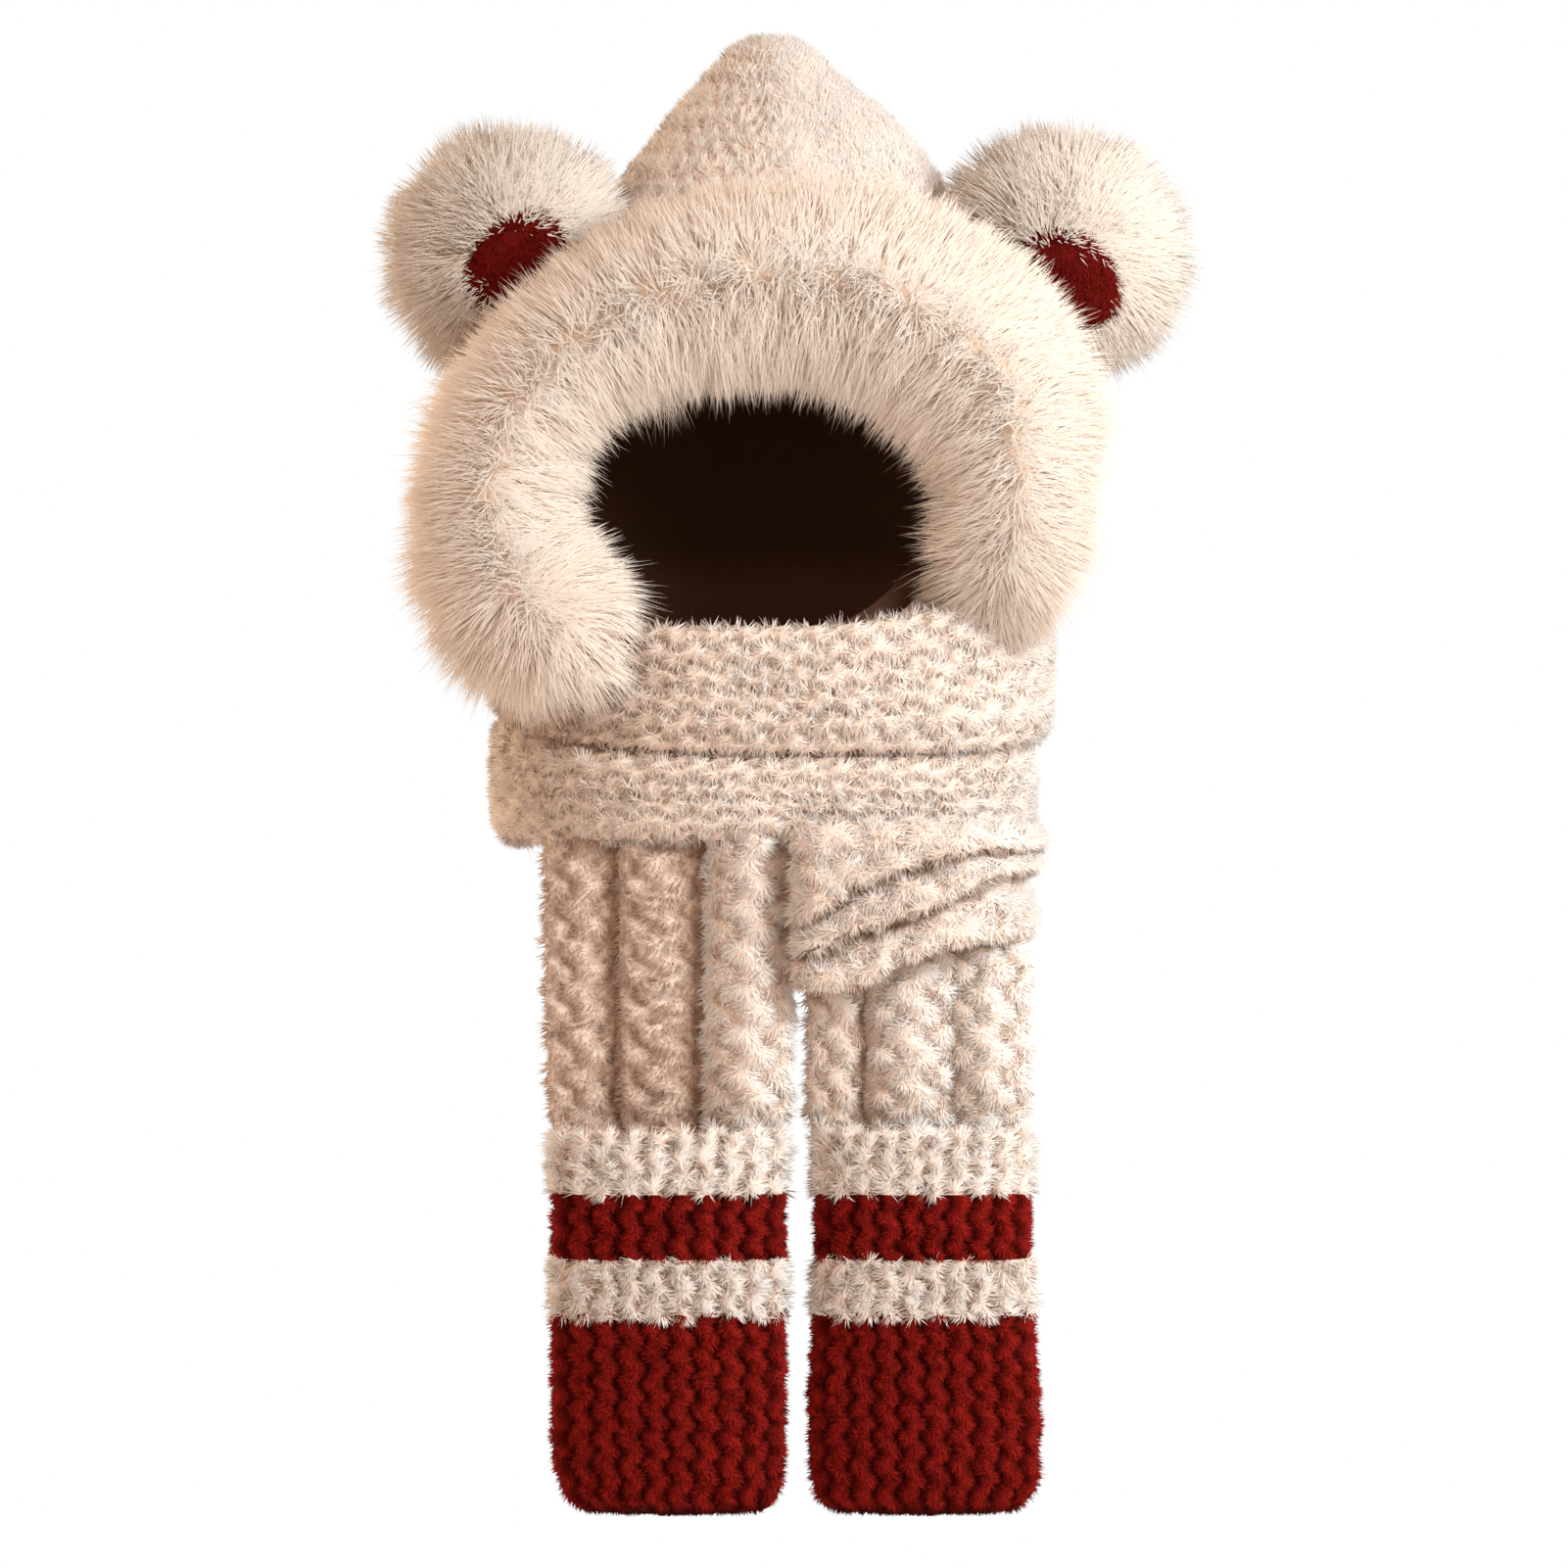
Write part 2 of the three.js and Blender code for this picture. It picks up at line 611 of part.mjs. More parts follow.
function mittenRing(table, middle, down, inset) {
  const row = rowAt(table, "down", down);
  const deep = row.depth * mittenDepth;
  const section = {
    left: row.left * mittenWidth - inset,
    right: row.right * mittenWidth - inset,
    front: deep / 2 - inset,
    back: deep / 2 - inset,
    power: mittenSquare,
  };
  return steps(mittenRound)
    .slice(0, -1)
    .map((share) => {
      const { x, y } = ovalPoint(section, 360 * share);
      return new THREE.Vector3(middle + x, -mittenBack - mittenDepth / 2 + y, 0);
    });
}

// A closed band of the mitten between two heights, measured down from its top. The last one has a closed end.
function mittenBand({ table, middle, from, to, closed }) {
  const depths = (closed ? handSteps : [0, 1]).map((share) => mix(from, to, share));
  const level = (ring, depth) => ring.map((p) => p.setZ(-tailEnd - clearance - depth));
  const outer = depths.map((d) => level(mittenRing(table, middle, d / mittenTall, 0), d));
  const innerDepths = closed ? depths.slice(0, -2) : depths;
  const inner = innerDepths.map((d) => level(mittenRing(table, middle, d / mittenTall, mittenWall), d));
  return solid(skin([...inner.reverse(), ...outer], { loop: !closed }));
}

// The cuff goes round the front and both sides of the scarf end, in line with the mitten below it.
function cuff(table, middle) {
  const side = (inset) => {
    const half = mittenRing(table, middle, 0, inset).slice(0, mittenRound / 2 + 1).reverse();
    const [first, last] = [half[0], half.at(-1)];
    const line = [first.clone().setY(-tailBack), ...half, last.clone().setY(-tailBack)];
    return [0, 0.5, 1].map((up) => line.map((p) => p.clone().setZ(-tailEnd + cuffTall * (1 - up))));
  };
  return solid(sheet(side(0), side(mittenWall)));
}

function mitten(table, middle) {
  const creamTop = redStripeTall;
  const handTop = creamTop + creamStripeTall;
  return {
    cuff: cuff(table, middle),
    redStripe: mittenBand({ table, middle, from: 0, to: creamTop - clearance }),
    creamStripe: mittenBand({ table, middle, from: creamTop, to: handTop - clearance }),
    hand: mittenBand({ table, middle, from: handTop, to: mittenTall, closed: true }),
  };
}

const mittens = { left: mitten(leftMitten, leftMittenMiddle), right: mitten(rightMitten, rightMittenMiddle) };

// The scene graph

const cream = new THREE.MeshStandardMaterial({ color: 0xe9d3c0, roughness: 0.95, metalness: 0 });
const creamFur = new THREE.MeshStandardMaterial({ color: 0xecd6c2, roughness: 0.9, metalness: 0 });
const red = new THREE.MeshStandardMaterial({ color: 0x7d120e, roughness: 0.95, metalness: 0 });
const darkLining = new THREE.MeshStandardMaterial({ color: 0x24100b, roughness: 0.9, metalness: 0 });

function piece(name, part, material) {
  const { numProp, vertProperties, triVerts, numVert } = part.getMesh();
  const positions = new Float32Array(numVert * 3);
  for (let i = 0; i < numVert; i += 1) {
    positions.set(vertProperties.subarray(i * numProp, i * numProp + 3), i * 3);
  }
  const geometry = new THREE.BufferGeometry();
  geometry.setAttribute("position", new THREE.BufferAttribute(positions, 3));
  geometry.setIndex(new THREE.BufferAttribute(triVerts, 1));
  geometry.computeVertexNormals();
  const mesh = new THREE.Mesh(geometry, material);
  mesh.name = name;
  return mesh;
}

const hoodGroup = new THREE.Group().add(
  piece("hood", hood, cream),
  piece("hood_lining", lining, darkLining),
  piece("fur_brim", brim, creamFur),
  piece("ear_left", leftEar.fur, creamFur),
  piece("ear_right", rightEar.fur, creamFur),
  piece("ear_patch_left", leftEar.patch, red),
  piece("ear_patch_right", rightEar.patch, red),
);

const scarfGroup = new THREE.Group().add(
  piece("neck_band_upper", upper, cream),
  piece("neck_band_lower", lower, cream),
  piece("neck_fold", drape, cream),
  piece("scarf_end_left", leftTail, cream),
  piece("scarf_end_right", rightTail, cream),
);

const mittenGroup = new THREE.Group();
for (const [side, parts] of Object.entries(mittens)) {
  mittenGroup.add(
    piece(`cuff_${side}`, parts.cuff, cream),
    piece(`red_stripe_${side}`, parts.redStripe, red),
    piece(`cream_stripe_${side}`, parts.creamStripe, cream),
    piece(`mitten_hand_${side}`, parts.hand, red),
  );
}

const hoodedScarf = new THREE.Group().add(hoodGroup, scarfGroup, mittenGroup);

export default hoodedScarf;
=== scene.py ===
import bmesh
import bpy
import numpy as np
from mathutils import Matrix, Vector


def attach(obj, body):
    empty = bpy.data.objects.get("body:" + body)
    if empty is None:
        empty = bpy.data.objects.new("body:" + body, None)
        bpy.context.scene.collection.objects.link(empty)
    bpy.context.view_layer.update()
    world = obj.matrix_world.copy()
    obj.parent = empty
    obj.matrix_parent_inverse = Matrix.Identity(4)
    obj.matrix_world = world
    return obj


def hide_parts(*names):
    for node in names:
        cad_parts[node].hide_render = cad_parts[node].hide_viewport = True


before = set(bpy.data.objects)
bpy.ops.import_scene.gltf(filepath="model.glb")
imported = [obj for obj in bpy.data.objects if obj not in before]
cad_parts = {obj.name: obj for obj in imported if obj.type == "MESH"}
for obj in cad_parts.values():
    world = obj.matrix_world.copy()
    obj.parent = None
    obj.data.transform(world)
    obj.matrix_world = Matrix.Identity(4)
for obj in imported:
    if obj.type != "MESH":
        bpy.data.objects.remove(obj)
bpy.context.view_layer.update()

# The view: a long lens level with the middle of the set, as in the photograph, which is 0.8 m wide at the set's
# front. The set hangs against plain white, in warm light from all round and from two soft boxes.
view_middle = Vector((0.00775, 0, -0.29275))
view_distance, front_distance = 6.0, 5.89
photo_width, sensor = 0.8005, 36
camera = bpy.data.objects.new("camera", bpy.data.cameras.new("camera"))
camera.location = view_middle + Vector((0, -view_distance, 0))
camera.rotation_euler = (np.pi / 2, 0, 0)
camera.data.sensor_width = sensor
camera.data.lens = sensor * front_distance / photo_width
camera.data.clip_end = 50
bpy.context.collection.objects.link(camera)
bpy.context.scene.camera = camera
bpy.context.scene.view_settings.view_transform = "Standard"

world = bpy.data.worlds.new("studio")
world.use_nodes = True
sky = world.node_tree.nodes
backdrop, glow = sky["Background"], sky.new("ShaderNodeBackground")
backdrop.inputs["Color"].default_value = (1, 1, 1, 1)
glow.inputs["Color"].default_value = (1.0, 0.79, 0.64, 1)
glow.inputs["Strength"].default_value = 0.84
seen, both = sky.new("ShaderNodeLightPath"), sky.new("ShaderNodeMixShader")
world.node_tree.links.new(seen.outputs["Is Camera Ray"], both.inputs[0])
world.node_tree.links.new(glow.outputs[0], both.inputs[1])
world.node_tree.links.new(backdrop.outputs[0], both.inputs[2])
world.node_tree.links.new(both.outputs[0], sky["World Output"].inputs["Surface"])
bpy.context.scene.world = world


def softbox(name, place, size, watts, colour):
    """A square area light that faces the middle of the set."""
    light = bpy.data.lights.new(name, "AREA")
    light.size = size
    light.energy = watts
    light.color = colour
    box = bpy.data.objects.new(name, light)
    box.location = place
    box.rotation_euler = (view_middle - Vector(place)).to_track_quat("-Z", "Y").to_euler()
    bpy.context.collection.objects.link(box)


softbox("key_light", (1.35, -1.5, 0.5), 0.8, 43, (0.84, 0.96, 1.0))
softbox("side_light", (-1.6, 0.95, 0.2), 1.0, 17, (1.0, 0.8, 0.55))


# Hood: a bag of knitted plush, open below and round the face, whose crown stands up in a soft peak.
# Its wavy ribs run across it, and its cream pile is 6 mm long and gathered in small tufts.
def srgb(red, green, blue):
    """A screen colour as the linear one that materials take."""
    share = np.array([red, green, blue]) / 255
    return (*np.where(share < 0.04045, share / 12.92, ((share + 0.055) / 1.055) ** 2.4), 1.0)


class Value:
    """A shader value that takes part in sums."""

    def __init__(self, paint, socket):
        self.paint, self.socket = paint, socket

    def maths(self, operation, a, b):
        return self.paint.node("ShaderNodeMath", {"operation": operation}, {0: a, 1: b})

    def __add__(self, other):
        return self.maths("ADD", self, other)

    def __sub__(self, other):
        return self.maths("SUBTRACT", self, other)

    def __rsub__(self, other):
        return self.maths("SUBTRACT", other, self)

    def __mul__(self, other):
        return self.maths("MULTIPLY", self, other)

    __radd__ = __add__
    __rmul__ = __mul__


class Paint:
    """A material whose colour and bump are worked out by nodes."""

    def __init__(self, name, roughness):
        self.material = bpy.data.materials.new(name)
        self.material.use_nodes = True
        self.nodes = self.material.node_tree.nodes
        self.shader = self.nodes["Principled BSDF"]
        self.shader.inputs["Roughness"].default_value = roughness
        self.shader.inputs["Specular IOR Level"].default_value = 0.1

    def node(self, kind, settings, inputs, output=0):
        """Adds a node, and gives back one of its outputs."""
        made = self.nodes.new(kind)
        for key, value in settings.items():
            setattr(made, key, value)
        for key, value in inputs.items():
            self.feed(made.inputs[key], value)
        return Value(self, made.outputs[output])

    def feed(self, socket, value):
        if isinstance(value, Value):
            self.material.node_tree.links.new(value.socket, socket)
        else:
            socket.default_value = value

    def mix(self, share, a, b):
        """A colour between a and b."""
        settings = {"data_type": "RGBA"}
        return self.node("ShaderNodeMix", settings, {0: share, 6: a, 7: b}, output=2)

    def clamp(self, value):
        return self.node("ShaderNodeClamp", {}, {"Value": value})

    def noise(self, scale, detail=2.0):
        place = self.node("ShaderNodeTexCoord", {}, {}, output="Object")
        return self.node("ShaderNodeTexNoise", {}, {"Vector": place, "Scale": scale, "Detail": detail})

    def tones(self):
        """What each hair or stitch carries in its UV map: its own tint, and how far out it is, with painted
        shade and light worked in.
        """
        uv = self.node("ShaderNodeUVMap", {"uv_map": "tone"}, {})
        split = {"Vector": uv}
        tint = self.node("ShaderNodeSeparateXYZ", {}, split, output="X")
        reach = self.node("ShaderNodeSeparateXYZ", {}, split, output="Y")
        return tint, reach


def soft_paint(name, deep, middle, tip, patchy, roughness=0.9):
    """Plush or fur: painted shade in the deep colour at the roots and in the grooves, paler at the tips, and
    patchy over the piece.
    """
    paint = Paint(name, roughness)
    tint, reach = paint.tones()
    patch_scale, fibre_scale, tinted = 22.0, 700.0, 0.2
    # Painted shade: low tones, at the roots, in the grooves and under painted shadows, go towards the deep
    # colour.
    low = paint.mix(paint.clamp(reach * 2.0), deep, middle)
    colour = paint.mix(paint.clamp(reach * 2.0 - 1.0), low, tip)
    shade = (paint.noise(patch_scale) - 0.5) * patchy + (tint - 0.5) * tinted
    colour = paint.mix(paint.clamp(0.0 - shade), colour, deep)
    colour = paint.mix(paint.clamp(shade), colour, tip)
    paint.feed(paint.shader.inputs["Base Color"], colour)
    bump = {"Height": paint.noise(fibre_scale, 3.0), "Strength": 0.3, "Distance": 0.001}
    paint.feed(paint.shader.inputs["Normal"], paint.node("ShaderNodeBump", {}, bump))
    return paint.material


hood_height, neckline = 0.342, -0.242
hood_width, hood_front, hood_back = 0.236, 0.104, 0.126
hood_rows = {
    "up": [0, 0.17, 0.26, 0.38, 0.5, 0.6, 0.68, 0.755, 0.82, 0.88, 0.93, 0.97, 0.992, 1.0],
    "left": [0.5, 0.5, 0.5, 0.5, 0.49, 0.465, 0.42, 0.355, 0.285, 0.225, 0.165, 0.105, 0.055, 0.004],
    "right": [0.5, 0.5, 0.5, 0.5, 0.49, 0.475, 0.45, 0.4, 0.34, 0.262, 0.18, 0.108, 0.055, 0.004],
    "front": [1, 1, 1, 1, 1, 0.98, 0.93, 0.84, 0.72, 0.57, 0.41, 0.25, 0.12, 0.01],
    "back": [0.7, 0.7, 0.82, 0.94, 1, 0.99, 0.93, 0.8, 0.63, 0.45, 0.31, 0.19, 0.1, 0.01],
    "lean": [0, 0, 0, 0, 0, 0, 0, 0.03, 0.08, 0.14, 0.19, 0.23, 0.25, 0.25],
    "power": [3, 3, 3, 3, 3, 2.9, 2.7, 2.4, 2.2, 2, 2, 2, 2, 2],
}


def rows_at(table, key, place):
    """The table's columns at places between its rows, along smooth curves."""
    x = np.array(table[key], float)
    i = np.clip(np.searchsorted(x, place) - 1, 0, len(x) - 2)
    width = x[i + 1] - x[i]
    t = np.clip((place - x[i]) / width, 0, 1)
    found = {}
    for name, column in table.items():
        y = np.array(column, float)
        step = np.diff(y) / np.diff(x)
        slope = np.concatenate([step[:1], (step[1:] + step[:-1]) / 2, step[-1:]])
        turning = np.concatenate([[False], step[1:] * step[:-1] <= 0, [False]])
        slope[turning] = 0
        found[name] = (
            y[i] * (1 + 2 * t) * (1 - t) ** 2
            + y[i + 1] * t * t * (3 - 2 * t)
            + width * slope[i] * t * (1 - t) ** 2
            - width * slope[i + 1] * t * t * (1 - t)
        )
    return found


def stack(x, y, z):
    """Points or directions from their three parts."""
    return np.stack(np.broadcast_arrays(x, y, z), axis=-1).astype(float)


def oval(turn, left, right, front, back, power):
    """Points of an oval seen from above: turn is 0 at the right, a quarter at the front, a half at the left."""
    c, s = np.cos(2 * np.pi * turn), np.sin(2 * np.pi * turn)
    bend = 2 / np.where(s > 0, power, 2.2)
    x = np.where(c > 0, right, left) * np.sign(c) * np.abs(c) ** bend
    y = np.where(s > 0, -front, back) * np.abs(s) ** bend
    return x, y


def unit(v):
    return v / np.maximum(np.linalg.norm(v, axis=-1, keepdims=True), 1e-12)


def facing(shape, u, v, d=2e-4):
    """Places on a surface, its outward direction there, its two tangents, and its area for each u and v."""
    here = shape(u, v)
    along_u = (shape(u + d, v) - shape(u - d, v)) / (2 * d)
    along_v = (shape(u, v + d) - shape(u, v - d)) / (2 * d)
    out = np.cross(along_u, along_v)
    return here, unit(out), unit(along_u), unit(along_v), np.linalg.norm(out, axis=-1)


def even(path):
    """Turns an even share of a path's length into the share at which the path is there."""
    share = np.linspace(0, 1, 721)
    step = np.linalg.norm(np.diff(path(share), axis=0), axis=1)
    length = np.concatenate([[0], np.cumsum(step)]) / step.sum()
    return lambda wanted: np.interp(wanted % 1, length, share) + np.floor(wanted)


def raised(shape, height, knit):
    """The surface lifted by its knitted ribs, square to itself."""

    def lifted(u, v):
        here, out, _, _, _ = facing(shape, u, v)
        return here + out * (height * knit(u, v)[0])[:, None]

    return lifted


def braid(across, along, knots=0.2, swing=0.24):
    """Knitted ribs, one for each unit across, that zigzag once for each unit along. Gives their height, from 0
    to 1, and how far their hairs lean over to the next rib.
    """
    place = across + swing * np.sin(2 * np.pi * along) + swing / 6 * np.sin(6 * np.pi * along)
    share = place - np.floor(place)
    knot = 0.5 + 0.5 * np.cos(4 * np.pi * along + np.pi * np.floor(place))
    return np.sin(np.pi * share) ** 0.7 * (1 - knots * (1 - knot)), -np.cos(np.pi * share)


def plain_skin(u, v):
    """No ribs, but the colour of their sides."""
    return 0 * u + 0.6, 0 * u


def finish_piece(mesh, name, material, nodes):
    """Adds a mesh to the scene as a piece of the row that stands for CAD nodes."""
    mesh.materials.append(material)
    piece = bpy.data.objects.new(name, mesh)
    bpy.context.collection.objects.link(piece)
    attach(piece, "root")
    if nodes:
        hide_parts(*nodes)
    return piece


def cloth(name, shape, height, knit, size, material, nodes=(), cut=None):
    """A grid laid on a surface and lifted by its ribs, with its seams closed."""
    bm = bmesh.new()
    bmesh.ops.create_grid(bm, x_segments=size[0], y_segments=size[1], size=0.5)
    mesh = bpy.data.meshes.new(name)
    bm.to_mesh(mesh)
    flat = np.empty(len(mesh.vertices) * 3, np.float32)
    mesh.vertices.foreach_get("co", flat)
    u, v = flat.reshape(-1, 3)[:, 0] + 0.5, flat.reshape(-1, 3)[:, 1] + 0.5
    u, v = u.astype(float), v.astype(float)
    places = raised(shape, height, knit)(u, v)
    mesh.vertices.foreach_set("co", places.astype(np.float32).ravel())
    corner = np.empty(len(mesh.loops), np.int32)
    mesh.loops.foreach_get("vertex_index", corner)
    layer = mesh.uv_layers.new(name="tone")
    # Painted shade: the cloth is toned darker in the grooves between its ribs.
    pairs = np.stack([np.full(len(corner), 0.5), 0.1 + 0.4 * knit(u, v)[0][corner]], axis=1)
    layer.data.foreach_set("uv", pairs.astype(np.float32).ravel())
    bm.clear()
    bm.from_mesh(mesh)
    bmesh.ops.remove_doubles(bm, verts=bm.verts, dist=2e-5)
    if cut:
        bmesh.ops.delete(bm, geom=[f for f in bm.faces if cut(f.calc_center_median()) < 1], context="FACES")
        for vert in bm.verts:
            if vert.is_boundary and cut(vert.co) < 2:
                shrink = cut(vert.co) ** -0.5
                vert.co.x = face_x + (vert.co.x - face_x) * shrink
                vert.co.z = face_z + (vert.co.z - face_z) * shrink
    bm.to_mesh(mesh)
    bm.free()
    mesh.shade_smooth()
    return finish_piece(mesh, name, material, nodes)


def hair(
    name, shape, height, knit, count, length, width, comb, material, seed, bends=1, tuft=0.004,
    loose=0.2, stray=0.3, weight=None, span=((0, 0), (1, 1)), droop=0.0, gather=0.3, soft=0.85,
    root_tone=0.08, tip_tone=0.5, shade=None, shorn=0.0,
):
    """Hairs sown over a surface as thin blades in one mesh. comb gives their direction, and weight how densely
    they stand. Hairs of one tuft lean the same way, by as much as loose says, and gather at their tips. stray
    turns each one by itself, and shorn shortens those in the grooves. Blades turn their flat sides outwards and
    to the front, and are shaded like the surface that they cover, the more so the larger soft is.
    """
    rng = np.random.default_rng(seed)
    count = int(count * (1))
    width = width * 1
    # Places are drawn evenly over u and v, and kept the more often the more area lies there.
    u, v = (rng.uniform(span[0][k], span[1][k], count * 5) for k in (0, 1))
    here, out, _, _, area = facing(shape, u, v)
    chance = area / np.quantile(area, 0.93)
    if weight:
        chance = chance * weight(here, out, u, v)
    taken = np.flatnonzero(rng.random(len(u)) < chance)[:count]
    u, v = u[taken], v[taken]
    root, out, along_u, along_v, _ = facing(raised(shape, height, knit), u, v)
    number = len(root)
    # Each tuft is a cell of space, with a lean and a middle of its own.
    cell = np.floor(root / tuft + rng.uniform(-0.35, 0.35, root.shape)).astype(np.int64)
    key = (cell[:, 0] * 73856093) ^ (cell[:, 1] * 19349663) ^ (cell[:, 2] * 83492791)
    _, group = np.unique(key, return_inverse=True)
    group = group.ravel()
    size = np.bincount(group)
    middle = np.stack([np.bincount(group, root[:, k]) / size for k in range(3)], axis=1)
    lean = rng.normal(0, loose, (len(size), 3))
    grown = rng.uniform(0.82, 1.1, len(size))
    relief, over = knit(u, v)
    ahead = comb(root, out, along_u, along_v, u, v, over)
    ahead = unit(ahead + lean[group] + rng.normal(0, stray * 0.5, root.shape))
    # A hair that would lie in the cloth is lifted.
    below = (ahead * out).sum(1) < 0.15
    ahead[below] = unit(ahead[below] + out[below] * 0.5)
    long = (length(u, v) if callable(length) else length) * grown[group] * rng.uniform(0.7, 1.08, number)
    long *= 1 - shorn * (1 - relief)
    draw = (middle[group] - root) * gather
    draw -= out * (draw * out).sum(1)[:, None]
    sag = stack(0, 0, -droop) * long[:, None]
    faced = out + stack(0, np.where(out[:, 1] < 0.35, -1.3, 0.5), 0)
    side = unit(np.cross(ahead, faced)) * (width * rng.uniform(0.7, 1.25, number))[:, None] / 2
    tip = root + ahead * long[:, None] + draw + sag
    base = root - out * 0.001
    rings, reach, faces = [base - side, base + side, tip], [0, 0, 1], [[0, 1, 2]]
    if bends == 2:
        elbow = root + ahead * long[:, None] * 0.55 + draw * 0.35 + sag * 0.25
        rings = [base - side, base + side, elbow - side * 0.8, elbow + side * 0.8, tip]
        reach = [0, 0, 0.55, 0.55, 1]
        faces = [[0, 1, 3], [0, 3, 2], [2, 3, 4]]
    points = len(rings)
    places = np.stack(rings, axis=1).reshape(-1, 3)
    corners = (np.arange(number)[:, None, None] * points + np.array(faces)[None]).reshape(-1)
    mesh = bpy.data.meshes.new(name)
    mesh.vertices.add(number * points)
    mesh.vertices.foreach_set("co", places.astype(np.float32).ravel())
    mesh.loops.add(len(corners))
    mesh.loops.foreach_set("vertex_index", corners.astype(np.int32))
    mesh.polygons.add(len(corners) // 3)
    mesh.polygons.foreach_set("loop_start", np.arange(0, len(corners), 3, dtype=np.int32))
    mesh.update(calc_edges=True)
    tint = rng.random(number) * 0.5 + rng.random(len(size))[group] * 0.5
    # Painted shade: roots and hairs in the grooves are toned darker, and shade paints more shade or light over
    # them.
    low, high = root_tone + 0.42 * relief, tip_tone + (1 - tip_tone) * relief
    far = np.stack([low * (1 - r) + high * r for r in reach], axis=1)
    far = far * (shade(u, v)[:, None] if shade else 1)
    pairs = np.stack([np.repeat(tint, points), far.reshape(-1)], axis=1)[corners]
    mesh.uv_layers.new(name="tone").data.foreach_set("uv", pairs.astype(np.float32).ravel())
    blade = unit(np.cross(side, ahead))
    shading = unit(out * soft + blade * (1 - soft) + ahead * 0.15)
    mesh.normals_split_custom_set_from_vertices(np.repeat(shading, points, axis=0).tolist())
    return finish_piece(mesh, name, material, ())


round_hood = even(lambda share: np.stack(oval(share, 0.11, 0.11, 0.1, 0.1, 2.7), axis=-1))


def hood_shape(inset):
    """u runs round the hood from the right by the back, and v from the neckline to the peak."""

    def shape(u, v):
        row = rows_at(hood_rows, "up", np.clip(v, 0, 1))
        thin = np.clip((1.0 - v) / 0.06, 0, 1)
        x, y = oval(
            round_hood(1 - u),
            row["left"] * hood_width - inset * thin,
            row["right"] * hood_width - inset * thin,
            row["front"] * hood_front - inset * thin,
            row["back"] * hood_back - inset * thin,
            row["power"],
        )
        z = neckline + v * hood_height - inset * np.clip((v - 0.6) / 0.4, 0, 1)
        return stack(x, y + row["lean"] * hood_back, z)

    return shape


face_x, face_z = -0.006, -0.152
face_half, face_tall = 0.1, 0.078


def outside_face(place):
    """Above 1 outside the hood's face opening, and well above it at the hood's back."""
    return 9 if place.y > 0 else ((place.x - face_x) / face_half) ** 2 + ((place.z - face_z) / face_tall) ** 2


def swirl(root, size):
    """A slow wander of direction over a skin, from -1 to 1."""
    x, y, z = root[:, 0] / size, root[:, 1] / size, root[:, 2] / size
    waves = np.sin(1.9 * x + 2.3 * z + 1) + np.sin(3.1 * z - 2.2 * y + 4.2 * x) + np.sin(5.3 * x - 3.7 * z + y)
    return waves / 3


def plush_comb(rib_lean=0.55, down=0.2, ribs="v", upright=0.52):
    """Silky pile that leans over from the middle of each rib, and falls a little."""

    def comb(root, out, along_u, along_v, u, v, over):
        fall = stack(0, 0, -1) - out * (-out[:, 2:3])
        beside = along_u if ribs == "v" else along_v
        lying = (along_v if ribs == "v" else along_u) * (over * rib_lean)[:, None]
        return out * upright + lying + fall * down + beside * (0.5 * swirl(root, 0.016))[:, None]

    return comb


def front_more(share):
    """Sows less densely on what faces away from the front."""
    return lambda here, out, u, v: np.where(out[:, 1] < 0.25, 1.0, share)


def top_more(here, out, u, v):
    """Sows most on the crown, and nothing on the front below it, which the brim covers."""
    return np.clip((v - 0.45) / 0.3, 0.3, 1) * ((here[:, 1] > -0.05) | (v > 0.7))


def hood_knit(u, v):
    """The ribs show less on the smooth right half of the crown."""
    height, lean = braid(v * 26, u * 38)
    smooth = np.clip(np.cos(2 * np.pi * (1 - u)) * 2.0 + 0.4, 0, 1) * np.clip((v - 0.6) * 5, 0, 1)
    return 1 - (1 - height) * (1 - 0.8 * smooth) * np.clip((1 - v) / 0.04, 0, 1), lean * (1 - smooth)


cream_plush = soft_paint("cream_plush", srgb(172, 132, 108), srgb(240, 219, 204), srgb(253, 244, 238), 0.3)
hood_outside, hood_rib = hood_shape(0.006), 0.0024
hood = cloth(
    "hood_cloth", hood_outside, hood_rib, hood_knit, (120, 100), cream_plush, ["hood"],
    cut=outside_face,
)
hood_pile = hair(
    "hood_pile", hood_outside, hood_rib, hood_knit, 86000, 0.006, 0.0008, plush_comb(0.4, -0.4), cream_plush,
    seed=1, weight=top_more, root_tone=0.18, tip_tone=0.35, tuft=0.006, loose=0.12, stray=0.2,
    gather=0.15, shorn=0.4,
)

# Lining: short plush inside the hood, sewn round the face opening, painted dark brown as the shade in the
# hollow.
# It shows only as a deep brown hollow, and its edge runs on behind the brim's fur.
shaded_lining_plush = soft_paint("dark_lining", srgb(62, 42, 32), srgb(88, 60, 46), srgb(120, 54, 42), 0.3)
lining_shape = hood_shape(0.0105)
lining = cloth(
    "hood_lining_cloth", lambda u, v: lining_shape(1 - u, v), 0, plain_skin, (96, 80), shaded_lining_plush,
    ["hood_lining"], cut=lambda place: outside_face(place) / 0.74,
)

